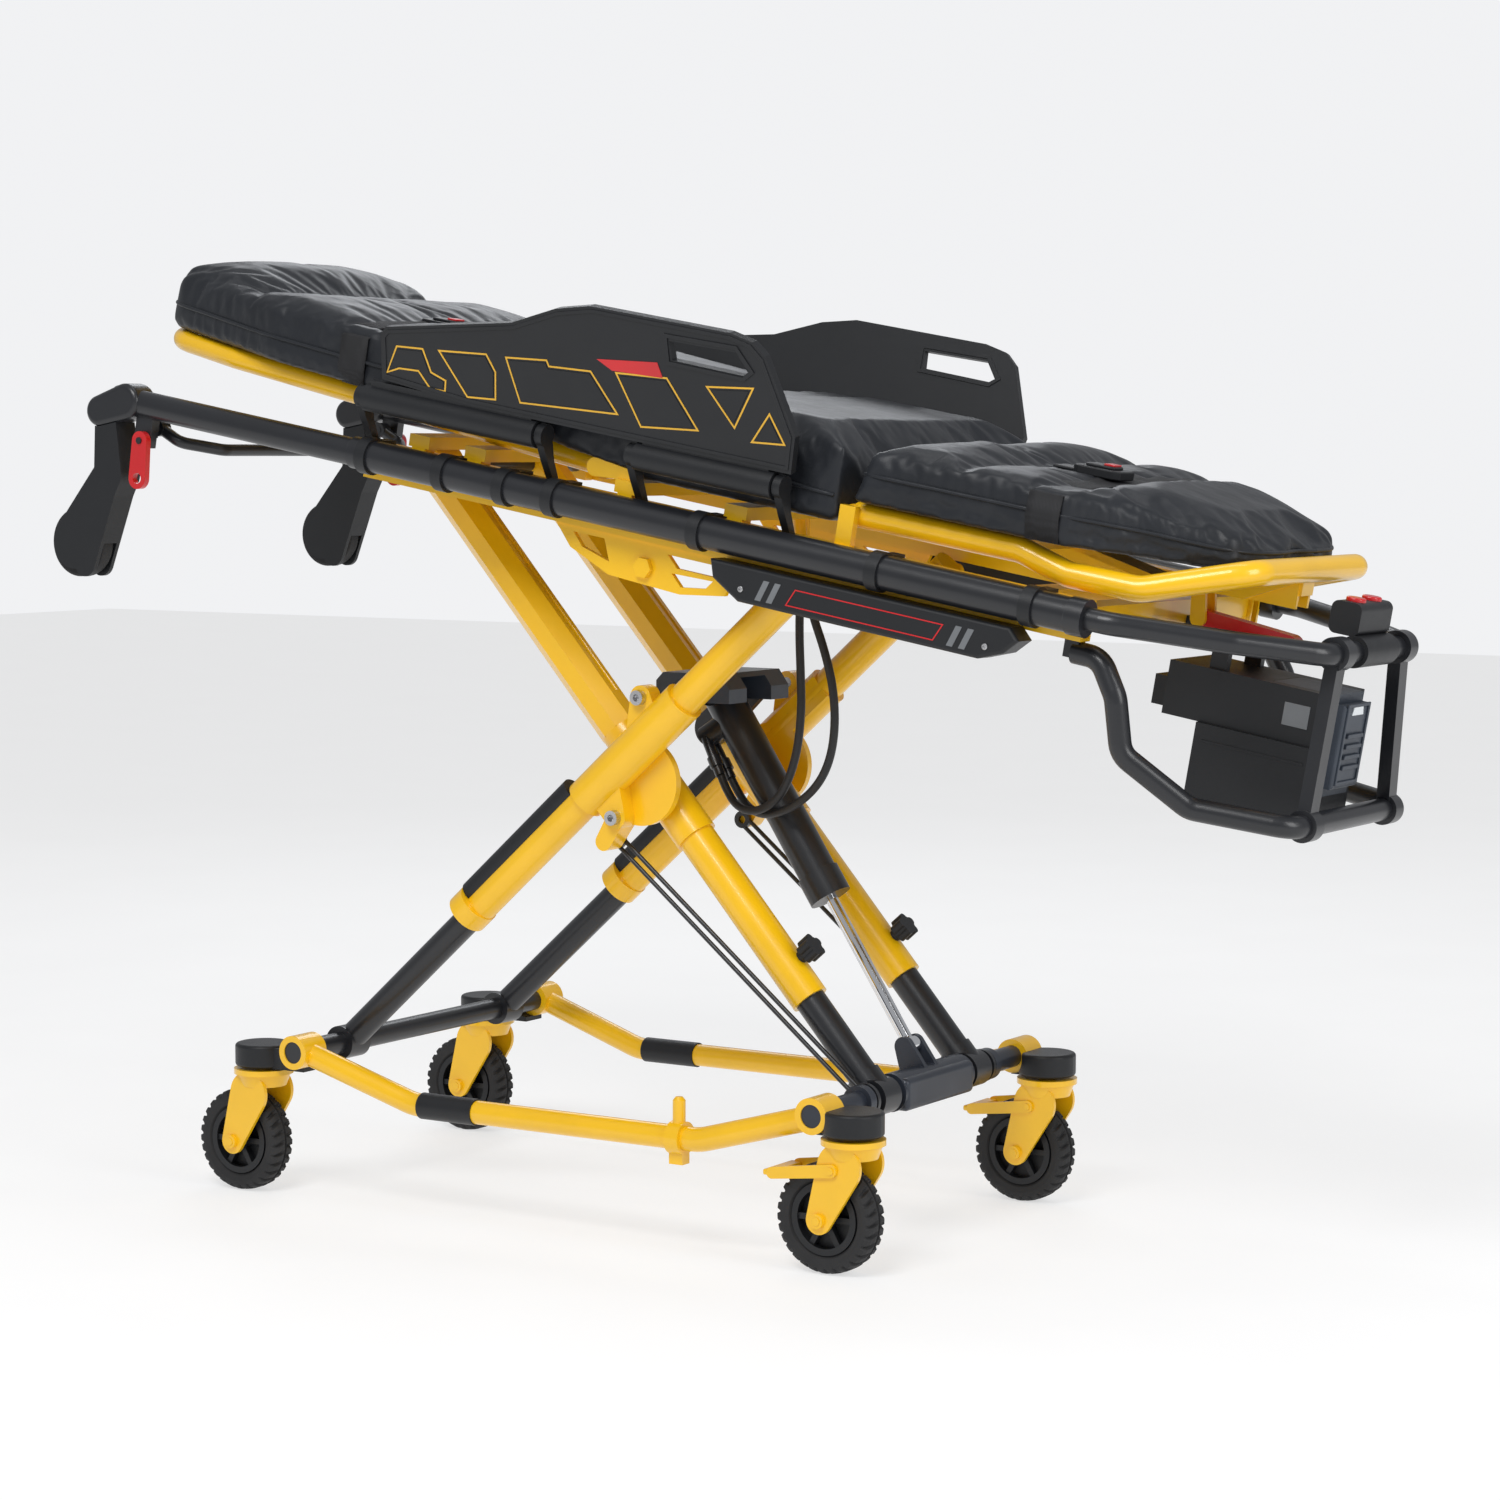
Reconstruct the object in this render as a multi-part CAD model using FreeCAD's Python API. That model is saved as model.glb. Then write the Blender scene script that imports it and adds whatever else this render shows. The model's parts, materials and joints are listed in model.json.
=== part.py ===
import FreeCAD, Part
import math
import os

# Powered ambulance stretcher trolley with a telescoping X frame.
# Units are millimetres.  +X points to the foot end, -Y is the patient's right, +Z is up.
# The floor is z = 0.  Shapes are drawn from the middle of the wheelbase and moved by
# ORIGIN_SHIFT on export, so the part's own origin is under the middle of its length.

V = FreeCAD.Vector
X_AXIS = V(1, 0, 0)
Y_AXIS = V(0, 1, 0)
ORIGIN_SHIFT = V(-179.7, 0, 0)

# ---------------------------------------------------------------- driving dimensions
RUN_GAP = 0.05            # radial clearance of a running fit
CLEAR = 0.3               # air between pieces that move past each other
TUBE_WALL = 3.0

LITTER_TILT = 10.0        # the litter stands head high by this many degrees
RAIL_HEIGHT = 1051.0      # height of the side bars' axis above the floor at mid wheelbase

WHEEL_RADIUS = 76.0
WHEEL_WIDTH = 44.0
CASTER_Y = 278.0
FOOT_SWIVEL_X = 565.0
HEAD_SWIVEL_X = -453.0
CASTER_TRAIL = 35.0
FORK_TOP = 186.0

FOOT_PIVOT = V(516, 0, 215)      # lower axis of the legs that reach to the litter's head end
HEAD_PIVOT = V(-360, 0, 222)     # lower axis of the legs that reach to the litter's foot end
CROSSING = V(130, 0, 657)        # where the two pairs of legs cross
SHAFT_R = 16.0

LEG_A_Y = 130.0
LEG_A_R = 30.0
LEG_A_INNER_R = 22.0
LEG_A_TOP = 560.0                # crossing to top pivot
LEG_A_END = 421.0                # crossing to the lower end of the outer tube
LEG_B_Y = 194.0
LEG_B_R = 24.0
LEG_B_INNER_R = 20.0
LEG_B_TOP = 403.8
LEG_B_END = 352.0

BAR_Y = 295.0                    # black side bar
BAR_R = 23.0
SLIDE_R = 20.0
RAIL_Y0, RAIL_Y1 = 243.0, 270.0  # yellow side extrusion

HIP_U, HIP_W = 130.0, 50.0       # backrest hinge, in the litter's own frame
BACK_TILT = 3.2
KNEE_U, KNEE_W = 540.0, 60.0     # leg section hinge
SIDERAIL_Y, SIDERAIL_W = 300.0, 82.0
SIDERAIL_FLARE = 15.0

LOAD_WHEEL = V(-755, 0, -225)    # in the litter's frame
LOAD_WHEEL_R = 52.0


# ---------------------------------------------------------------- small helpers
def rod(start, end, radius):
    """Solid round bar between two points."""
    run = end - start
    return Part.makeCylinder(radius, run.Length, start, run)


def pipe(start, end, outer, inner):
    return rod(start, end, outer).cut(rod(start, end, inner))


def box(x0, x1, y0, y1, z0, z1):
    return Part.makeBox(x1 - x0, y1 - y0, z1 - z0, V(x0, y0, z0))


def ring_y(centre, y0, y1, outer, inner):
    """Ring about an axis along Y."""
    start = V(centre.x, y0, centre.z)
    end = V(centre.x, y1, centre.z)
    return pipe(start, end, outer, inner)


def bar_y(centre, y0, y1, radius):
    return rod(V(centre.x, y0, centre.z), V(centre.x, y1, centre.z), radius)


def fuse(shapes):
    solid = shapes[0]
    for other in shapes[1:]:
        solid = solid.fuse(other)
    return solid.removeSplitter()


def cut(solid, tools):
    for tool in tools:
        solid = solid.cut(tool)
    return solid


def mirrored(shape):
    return shape.mirror(V(0, 0, 0), Y_AXIS)


def pair(shape):
    """The piece on the right side (-Y) and its mirror image on the left."""
    return [shape, mirrored(shape)]


def plate_xz(points, y0, y1):
    """Flat plate with a straight-sided outline in X and Z, from y0 to y1."""
    corners = [V(x, y0, z) for x, z in points]
    face = Part.Face(Part.makePolygon(corners + corners[:1]))
    return face.extrude(V(0, y1 - y0, 0))


def plate_xy(points, z0, z1):
    corners = [V(x, y, z0) for x, y in points]
    face = Part.Face(Part.makePolygon(corners + corners[:1]))
    return face.extrude(V(0, 0, z1 - z0))


def link_plate(first, r_first, second, r_second, y0, y1):
    """Plate round two circles joined by their common tangents, in X and Z."""
    run = second - first
    length = math.hypot(run.x, run.z)
    heading = math.atan2(run.z, run.x)
    spread = math.acos((r_first - r_second) / length)
    corners = []
    for side in (1, -1):
        angle = heading + side * spread
        normal = V(math.cos(angle), 0, math.sin(angle))
        corners.append((first + normal * r_first, second + normal * r_second))
    (a1, a2), (b1, b2) = corners
    web = plate_xz([(a1.x, a1.z), (a2.x, a2.z), (b2.x, b2.z), (b1.x, b1.z)], y0, y1)
    return fuse([web, bar_y(first, y0, y1, r_first), bar_y(second, y0, y1, r_second)])


def rounded_path(points, radii):
    """Straight runs joined by tangent arcs; radii has one value per inner point."""
    edges = []
    last = points[0]
    for before, corner, after, radius in zip(points, points[1:], points[2:], radii):
        into = (corner - before).normalize()
        out = (after - corner).normalize()
        turn = into.getAngle(out)
        setback = radius * math.tan(turn / 2)
        start = corner - into * setback
        end = corner + out * setback
        middle_way = (out - into).normalize()
        middle = corner + middle_way * (radius / math.cos(turn / 2) - radius)
        edges.append(Part.LineSegment(last, start).toShape())
        edges.append(Part.Arc(start, middle, end).toShape())
        last = end
    edges.append(Part.LineSegment(last, points[-1]).toShape())
    return Part.Wire(edges)


def tube_along(points, radius, bend, wall):
    """Round tube bent to the same radius at every inner point."""
    path = rounded_path(points, [bend] * (len(points) - 2))
    start_way = points[1] - points[0]
    skins = []
    for size in (radius, radius - wall):
        section = Part.Wire([Part.Circle(points[0], start_way, size).toShape()])
        skins.append(path.makePipeShell([section], True, True))
    return skins[0].cut(skins[1])


def half_loop(points, radius, bend, wall):
    """A loop that is symmetric about y = 0, from its right half's points."""
    left = [V(p.x, -p.y, p.z) for p in reversed(points)]
    return tube_along(points + left, radius, bend, wall)


def soften(solid, size, keep=lambda edge: True):
    """Round the edges of a plain block that pass the test."""
    return solid.makeFillet(size, [edge for edge in solid.Edges if keep(edge)])


# ---------------------------------------------------------------- frames of reference
def on_litter(shape):
    """Move a shape drawn level about the side bars' axis to where the litter stands."""
    shape = shape.copy()
    shape.rotate(V(0, 0, 0), Y_AXIS, LITTER_TILT)
    shape.translate(V(0, 0, RAIL_HEIGHT))
    return shape


def on_backrest(shape):
    shape = shape.copy()
    shape.rotate(V(HIP_U, 0, HIP_W), Y_AXIS, BACK_TILT)
    return on_litter(shape)


UP_A = (CROSSING - FOOT_PIVOT).normalize()       # along leg A, upwards
OVER_A = V(UP_A.z, 0, -UP_A.x)                   # square to leg A, on its upper side
UP_B = (CROSSING - HEAD_PIVOT).normalize()
OVER_B = V(-UP_B.z, 0, UP_B.x)
TOP_PIVOT_A = CROSSING + UP_A * LEG_A_TOP
TOP_PIVOT_B = CROSSING + UP_B * LEG_B_TOP


def on_leg_a(along, over=0.0, y=0.0):
    point = CROSSING + UP_A * along + OVER_A * over
    return V(point.x, y, point.z)


def on_leg_b(along, over=0.0, y=0.0):
    point = CROSSING + UP_B * along + OVER_B * over
    return V(point.x, y, point.z)


# ---------------------------------------------------------------- output
PARTS = {}


def keep(name, shapes):
    """Write one node from a list of solids."""
    whole = Part.makeCompound(shapes) if len(shapes) > 1 else shapes[0]
    whole = whole.copy()
    whole.translate(ORIGIN_SHIFT)
    for solid in whole.Solids:
        if not solid.isValid():
            print("not valid:", name)
    PARTS[name] = whole
    whole.exportStep("parts/" + name + ".step")


# ---------------------------------------------------------------- base frame
HUB_R = 25.0
SIDE_TUBE_R = 17.0
SIDE_TUBE_Z = 160.0
HUB_HALF = 24.0
HEAD_HUB_Y = 300.0
FOOT_HUB_Y = 284.0


def base_side_tube():
    """Bent yellow tube between the head and foot hubs, right side."""
    route = [
        V(HEAD_PIVOT.x, -HEAD_HUB_Y, HEAD_PIVOT.z),
        V(-163, -288, SIDE_TUBE_Z),
        V(327, -288, SIDE_TUBE_Z),
        V(FOOT_PIVOT.x, -FOOT_HUB_Y, FOOT_PIVOT.z - 3),
    ]
    tube = tube_along(route, SIDE_TUBE_R, 90, TUBE_WALL)
    hubs = [
        bar_y(HEAD_PIVOT, -HEAD_HUB_Y - HUB_HALF, -HEAD_HUB_Y + HUB_HALF, HUB_R),
        bar_y(FOOT_PIVOT, -FOOT_HUB_Y - HUB_HALF, -FOOT_HUB_Y + HUB_HALF, HUB_R),
    ]
    shape = fuse([tube] + hubs)
    return cut(shape, [bar_y(HEAD_PIVOT, -340, -250, SHAFT_R), bar_y(FOOT_PIVOT, -340, -250, SHAFT_R)])


def foot_cross_beam():
    """Casting across the foot end with the cylinder's clevis and the collars of its shaft."""
    shaft_end = FOOT_HUB_Y + HUB_HALF - 2
    body = bar_y(FOOT_PIVOT, -98, 98, 27)
    saddle = soften(box(488, 544, -96, 96, 190, 236), 8)
    pieces = [bar_y(FOOT_PIVOT, -shaft_end, shaft_end, SHAFT_R), body, saddle]
    for side in (-1, 1):
        ear_y = sorted((side * 11, side * 19))
        pieces.append(link_plate(FOOT_PIVOT, 24, ROD_EYE, 14, ear_y[0], ear_y[1]))
        collar_y = sorted((side * 171, side * 186))
        pieces.append(bar_y(FOOT_PIVOT, collar_y[0], collar_y[1], 23))
    return fuse(pieces)


def corner_cap(swivel_x, hub):
    """Black cap over a caster, with the socket that its stem turns in."""
    inner = hub.x
    low, high = sorted((swivel_x, inner))
    cap = Part.makeCylinder(42, 34, V(swivel_x, -CASTER_Y, FORK_TOP + 3.5))
    cap = soften(cap, 5)
    arm = box(low, high, -CASTER_Y - 21, -CASTER_Y + 21, FORK_TOP + 3.5, FORK_TOP + 34)
    socket = Part.makeCylinder(12 + RUN_GAP, 40, V(swivel_x, -CASTER_Y, FORK_TOP - 10))
    roof = Part.makeCylinder(20, 6, V(swivel_x, -CASTER_Y, FORK_TOP + 31))
    hollow = socket.cut(roof)
    return cut(cap.fuse(arm), [hollow, bar_y(hub, -400, -200, HUB_R + CLEAR)])


def grip_band():
    start = V(-148, -288, SIDE_TUBE_Z)
    end = V(-52, -288, SIDE_TUBE_Z)
    return pipe(start, end, SIDE_TUBE_R + 2.2, SIDE_TUBE_R + 0.02)


POST_X = 293.0
POST_R = 9.0
POST_TOP = 212.0


def fastener_post():
    """Upright pin clamped to the right side tube, for a vehicle's cot fastener."""
    start = V(POST_X - 11, -288, SIDE_TUBE_Z)
    end = V(POST_X + 11, -288, SIDE_TUBE_Z)
    clamp = rod(start, end, SIDE_TUBE_R + 6)
    foot = box(POST_X - 11, POST_X + 11, -297, -279, SIDE_TUBE_Z - 36, SIDE_TUBE_Z)
    post = Part.makeCylinder(POST_R, POST_TOP - SIDE_TUBE_Z, V(POST_X, -288, SIDE_TUBE_Z))
    tip = Part.makeCone(POST_R, 5, 5, V(POST_X, -288, POST_TOP))
    return cut(fuse([clamp, foot, post, tip]), [rod(start, end, SIDE_TUBE_R + 0.02)])


def build_base():
    keep("base_side_tube_right", [base_side_tube()])
    keep("base_side_tube_left", [mirrored(base_side_tube())])
    reach = HEAD_HUB_Y + HUB_HALF - 2
    keep("head_cross_tube", [bar_y(HEAD_PIVOT, -reach, reach, SHAFT_R)])
    keep("foot_cross_beam", [foot_cross_beam()])
    trim = pair(corner_cap(FOOT_SWIVEL_X, FOOT_PIVOT)) + pair(corner_cap(HEAD_SWIVEL_X, HEAD_PIVOT))
    keep("base_corner_caps", trim + pair(grip_band()))
    keep("fastener_post", [fastener_post()])


# ---------------------------------------------------------------- casters
FORK_GAP = 27.0
CHEEK = 6.0
AXLE_R = 6.0
HUB_WHEEL_R = 50.0
PEDAL_PIVOT = V(-14, 0, 146)


def caster_fork():
    """Fork about a swivel axis at x = 0, y = 0, with its axle bolt."""
    axle = V(-CASTER_TRAIL, 0, WHEEL_RADIUS)
    crown = V(-4, 0, 150)
    pieces = [
        Part.makeCylinder(12, 30, V(0, 0, FORK_TOP - 2)),
        Part.makeCylinder(44, 8, V(0, 0, FORK_TOP - 8)),
        Part.makeCone(34, 40, 18, V(0, 0, FORK_TOP - 26)),
        bar_y(axle, -FORK_GAP - CHEEK - 7, FORK_GAP + CHEEK + 7, AXLE_R),
    ]
    for side in (-1, 1):
        cheek_y = sorted((side * FORK_GAP, side * (FORK_GAP + CHEEK)))
        cheek = link_plate(crown, 33, axle, 19, cheek_y[0], cheek_y[1])
        pieces.append(cheek)
        bolt_y = sorted((side * (FORK_GAP + CHEEK), side * (FORK_GAP + CHEEK + 6)))
        pieces.append(bar_y(axle, bolt_y[0], bolt_y[1], 10))
    shape = fuse(pieces)
    above = box(-60, 60, -60, 60, FORK_TOP, 300).cut(Part.makeCylinder(12.5, 60, V(0, 0, FORK_TOP - 5)))
    return shape.cut(above)


def revolve_wheel(points, radius_round):
    """Ring about Y from a section in (radius, y)."""
    corners = [V(r, y, 0) for r, y in points]
    face = Part.Face(Part.makePolygon(corners + corners[:1]))
    ring = face.revolve(V(0, 0, 0), Y_AXIS, 360)
    outer = [e for e in ring.Edges if e.Closed and abs(e.BoundBox.XMax - radius_round) < 0.01]
    return ring.makeFillet(7, outer)


def tyre(outer, inner, width):
    half = width / 2
    return revolve_wheel([(inner, -half), (outer, -half), (outer, half), (inner, half)], outer)


def wheel_hub(outer, bore, width):
    """Dished hub with a raised boss on each side."""
    half = width / 2
    rim = ring_y(V(0, 0, 0), -half + 3, half - 3, outer, outer - 9)
    web = ring_y(V(0, 0, 0), -5, 5, outer - 8, bore + 8)
    boss = ring_y(V(0, 0, 0), -half - 1, half + 1, bore + 9, bore)
    spokes = []
    for count in range(6):
        spoke = box(bore + 5, outer - 6, -half + 6, half - 6, -4, 4)
        spoke.rotate(V(0, 0, 0), Y_AXIS, 60 * count)
        spokes.append(spoke)
    return fuse([rim, web, boss] + spokes)


def brake_pedal():
    """Foot lever on two arms outside the fork's cheeks, about the swivel axis at x = 0."""
    arm_in = FORK_GAP + CHEEK + CLEAR
    pieces = []
    for side in (-1, 1):
        arm_y = sorted((side * arm_in, side * (arm_in + 4)))
        pieces.append(link_plate(PEDAL_PIVOT, 9, V(-106, 0, 134), 8, arm_y[0], arm_y[1]))
    tread = box(-120, -101, -arm_in - 4, arm_in + 4, 130, 138)
    shape = fuse(pieces + [soften(tread, 2.5)])
    return shape.cut(bar_y(PEDAL_PIVOT, -60, 60, 5 + RUN_GAP))


def build_casters():
    corners = [
        ("foot_right", FOOT_SWIVEL_X, -1),
        ("foot_left", FOOT_SWIVEL_X, 1),
        ("head_right", HEAD_SWIVEL_X, -1),
        ("head_left", HEAD_SWIVEL_X, 1),
    ]
    for name, swivel_x, side in corners:
        place = V(swivel_x, side * CASTER_Y, 0)
        fork = caster_fork()
        if name.startswith("foot"):
            reach = FORK_GAP + CHEEK + 6
            pins = [bar_y(PEDAL_PIVOT, -reach, -FORK_GAP - 1, 5), bar_y(PEDAL_PIVOT, FORK_GAP + 1, reach, 5)]
            fork = fuse([fork] + pins)
            pedal = brake_pedal()
            pedal.translate(place)
            keep("brake_pedal_" + name.split("_")[1], [pedal])
        fork.translate(place)
        keep("caster_fork_" + name, [fork])
        wheel_place = place + V(-CASTER_TRAIL, 0, WHEEL_RADIUS)
        hub = wheel_hub(HUB_WHEEL_R, AXLE_R + RUN_GAP, WHEEL_WIDTH)
        hub.translate(wheel_place)
        keep("wheel_hub_" + name, [hub])
        rubber = tyre(WHEEL_RADIUS, HUB_WHEEL_R + 0.03, WHEEL_WIDTH)
        rubber.translate(wheel_place)
        keep("tyre_" + name, [rubber])


# ---------------------------------------------------------------- legs
CYLINDER_TOP = V(173, 0, 755)
ROD_EYE = V(492, 0, 266)
LEG_A_INNER_LENGTH = 366.0
LEG_B_INNER_LENGTH = 473.0
TOP_SHAFT_R = 12.0


def leg_a_inner():
    """Black inner tube on a sleeve that turns on the foot cross beam's shaft."""
    sleeve = bar_y(FOOT_PIVOT, -LEG_A_Y - 22, -LEG_A_Y + 22, 26)
    foot = V(FOOT_PIVOT.x, -LEG_A_Y, FOOT_PIVOT.z)
    collar = rod(foot, foot + UP_A * 36, 25)
    tube = rod(foot + UP_A * 20, foot + UP_A * LEG_A_INNER_LENGTH, LEG_A_INNER_R)
    hollow = rod(foot + UP_A * 60, foot + UP_A * (LEG_A_INNER_LENGTH + 1), LEG_A_INNER_R - 3)
    shape = fuse([sleeve, collar, tube])
    return cut(shape, [bar_y(FOOT_PIVOT, -200, -50, SHAFT_R + RUN_GAP), hollow])


def octagon_bar(start, end, across):
    """Eight-sided bar with one flat on top."""
    way = (end - start).normalize()
    side = Y_AXIS
    over = way.cross(side)
    radius = across / 2 / math.cos(math.radians(22.5))
    corners = []
    for count in range(8):
        angle = math.radians(22.5 + 45 * count)
        corners.append(start + side * (radius * math.cos(angle)) + over * (radius * math.sin(angle)))
    face = Part.Face(Part.makePolygon(corners + corners[:1]))
    return face.extrude(end - start)


def leg_a_outer():
    """Yellow outer tube: eight-sided above the crossing, a round sleeve and a thinner end."""
    y = -LEG_A_Y
    top = on_leg_a(LEG_A_TOP, 0, y)
    upper = octagon_bar(on_leg_a(60, 0, y), top, 2 * LEG_A_R - 1)
    cap = bar_y(TOP_PIVOT_A, y - LEG_A_R + 1, y + LEG_A_R - 1, LEG_A_R - 0.5)
    sleeve = rod(on_leg_a(60, 0, y), on_leg_a(-134, 0, y), LEG_A_R + 1)
    lower = rod(on_leg_a(-134, 0, y), on_leg_a(-LEG_A_END, 0, y), LEG_A_R - 3)
    shape = fuse([upper, cap, sleeve, lower])
    hollow = rod(on_leg_a(LEG_A_TOP - 60, 0, y), on_leg_a(-LEG_A_END + 60, 0, y), LEG_A_INNER_R + 1.5)
    bush = rod(on_leg_a(-LEG_A_END + 61, 0, y), on_leg_a(-LEG_A_END - 1, 0, y), LEG_A_INNER_R + RUN_GAP)
    groove = rod(on_leg_a(110, LEG_A_R + 2, y), on_leg_a(LEG_A_TOP - 60, LEG_A_R + 2, y), 5)
    return cut(shape, [hollow, bush, groove, bar_y(TOP_PIVOT_A, -200, -50, TOP_SHAFT_R)])


KNOB_ALONG = -367.0


def leg_a_knob():
    """Star knob that locks the tube, standing on the leg's upper side."""
    y = -LEG_A_Y
    foot = on_leg_a(KNOB_ALONG, LEG_A_R - 3 + 0.1, y)
    neck = rod(foot, foot + OVER_A * 12, 9)
    head = rod(foot + OVER_A * 10, foot + OVER_A * 30, 14)
    lobes = []
    for count in range(5):
        angle = math.radians(72 * count)
        out = UP_A * math.cos(angle) + Y_AXIS * math.sin(angle)
        centre = foot + out * 12
        lobes.append(rod(centre + OVER_A * 10, centre + OVER_A * 30, 6.5))
    return fuse([neck, head] + lobes)


def leg_a_cross_beam():
    """Top pivot shaft, the pin of the cylinder and the two brackets that carry it."""
    shaft = bar_y(TOP_PIVOT_A, -235, 235, TOP_SHAFT_R)
    foot = on_leg_a(45)
    ears = []
    for side in (-1, 1):
        ear_y = sorted((side * 86, side * (LEG_A_Y - LEG_A_R - 1.5)))
        ears.append(link_plate(foot, 27, CYLINDER_TOP, 22, ear_y[0], ear_y[1]))
    pin = bar_y(CYLINDER_TOP, -98, 98, TOP_SHAFT_R)
    return [shaft, fuse(ears + [pin])]


def valve_cover():
    """Cover of the valve block over the cylinder's top eye."""
    outline = [(116, 742), (240, 742), (240, 762), (224, 784), (128, 784), (116, 772)]
    block = plate_xz(outline, -80, 80)
    slot = box(100, 300, -33, 33, 700, 777)
    pin_way = bar_y(CYLINDER_TOP, -90, 90, TOP_SHAFT_R + 0.02)
    return cut(block, [slot, pin_way])


def leg_b_inner():
    """Black inner tube on a sleeve that turns on the head cross tube."""
    sleeve = bar_y(HEAD_PIVOT, -LEG_B_Y - 22, -LEG_B_Y + 22, 25)
    foot = V(HEAD_PIVOT.x, -LEG_B_Y, HEAD_PIVOT.z)
    tube = rod(foot + UP_B * 18, foot + UP_B * LEG_B_INNER_LENGTH, LEG_B_INNER_R)
    hollow = rod(foot + UP_B * 60, foot + UP_B * (LEG_B_INNER_LENGTH + 1), LEG_B_INNER_R - 3)
    return cut(sleeve.fuse(tube), [bar_y(HEAD_PIVOT, -300, -100, SHAFT_R + RUN_GAP), hollow])


def leg_b_outer():
    y = -LEG_B_Y
    tube = rod(on_leg_b(-LEG_B_END, 0, y), on_leg_b(LEG_B_TOP + 16, 0, y), LEG_B_R)
    collar = rod(on_leg_b(-LEG_B_END, 7, y), on_leg_b(-LEG_B_END + 28, 7, y), LEG_B_R + 8)
    hollow = rod(on_leg_b(-LEG_B_END + 60, 0, y), on_leg_b(LEG_B_TOP - 40, 0, y), LEG_B_INNER_R + 1)
    bush = rod(on_leg_b(-LEG_B_END - 1, 0, y), on_leg_b(-LEG_B_END + 61, 0, y), LEG_B_INNER_R + RUN_GAP)
    return cut(tube.fuse(collar), [hollow, bush, bar_y(TOP_PIVOT_B, -240, -150, TOP_SHAFT_R)])


def leg_b_guard():
    """Black guard strip that lies along the upper side of the yellow tube."""
    y = -LEG_B_Y
    start = -LEG_B_END + 29
    end = -82
    bar = rod(on_leg_b(start, 22, y), on_leg_b(end, 22, y), 20)
    return bar.cut(rod(on_leg_b(start - 2, 0, y), on_leg_b(end + 2, 0, y), LEG_B_R + 0.05))


CLAMP_BOLTS = [(99.0, 45.0), (-47.0, -54.0)]
CLAMP_INNER = 170.5


def leg_b_clamp():
    """Split clamp round the leg at the crossing, with an ear for each bolt."""
    y = -LEG_B_Y
    sleeve = rod(on_leg_b(-76, 0, y), on_leg_b(146, 0, y), LEG_B_R + 6)
    pieces = [sleeve]
    for along, over in CLAMP_BOLTS:
        root = on_leg_b(along * 0.75, over * 0.2)
        pieces.append(link_plate(root, 28, on_leg_b(along, over), 17, y - 13, y + 13))
    pieces.append(bar_y(on_leg_b(5, -34), y + 12, -CLAMP_INNER, 62))
    lower = on_leg_b(*CLAMP_BOLTS[1])
    pieces.append(link_plate(lower, 15, TIMING_TOP, 13, y - 9, -CLAMP_INNER))
    shape = fuse(pieces)
    tools = [rod(on_leg_b(-200, 0, y), on_leg_b(200, 0, y), LEG_B_R + 0.02)]
    tools.append(box(-300, 500, -CLAMP_INNER, 0, 300, 1000))
    for along, over in CLAMP_BOLTS:
        tools.append(bar_y(on_leg_b(along, over), -260, -100, 8))
    return cut(shape, tools)


def clamp_bolt(along, over):
    """Bolt with a washer and a socket head."""
    centre = on_leg_b(along, over)
    y = -LEG_B_Y
    shank = bar_y(centre, y - 14, y + 13, 7.9)
    head = bar_y(centre, y - 24, y - 13.1, 10.5)
    return cut(shank.fuse(head), [bar_y(centre, y - 30, y - 15, 5)])


TIMING_TOP = on_leg_b(-88, -66)
TIMING_Y0, TIMING_Y1 = 161.7, 168.3


def timing_link():
    """Pair of thin rods from the foot shaft up to the clamp, right side."""
    run = TIMING_TOP - FOOT_PIVOT
    way = V(run.x, 0, run.z).normalize()
    across = V(-way.z, 0, way.x)
    middle = -(TIMING_Y0 + TIMING_Y1) / 2
    pieces = [
        bar_y(FOOT_PIVOT, -TIMING_Y1, -TIMING_Y0, 24),
        bar_y(TIMING_TOP, -TIMING_Y1, -TIMING_Y0, 13),
    ]
    for side in (-1, 1):
        shift = across * (6.5 * side) + V(0, middle, 0)
        start = V(FOOT_PIVOT.x, 0, FOOT_PIVOT.z) + way * 18 + shift
        end = V(TIMING_TOP.x, 0, TIMING_TOP.z) - way * 6 + shift
        pieces.append(rod(start, end, 3.2))
    shape = fuse(pieces)
    return cut(shape, [bar_y(FOOT_PIVOT, -200, -100, SHAFT_R + RUN_GAP), bar_y(TIMING_TOP, -200, -100, 6)])


BARREL_R = 28.0
BARREL_LENGTH = 345.0
FITTING_LENGTH = 62.0
HOSE_R = 6.0
HOSE_ROUTES = {
    "hose_inner": [
        V(351, -64, 960), V(348, -64, 902), V(346, -63, 846), V(348, -62, 790), V(349, -61, 734),
        V(341, -60, 674), V(322, -59, 626), V(301, -61, 602), V(272, -58, 589), V(240, -48, 590),
        V(212, -36, 606), V(194, -30, 635),
    ],
    "hose_outer": [
        V(363, -84, 965), V(368, -84, 920), V(380, -83, 872), V(398, -81, 825), V(412, -79, 771),
        V(414, -77, 715), V(403, -74, 666), V(377, -68, 628), V(332, -56, 598), V(284, -45, 583),
        V(248, -30, 586), V(218, -14, 602), V(198, -8, 629),
    ],
}


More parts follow.
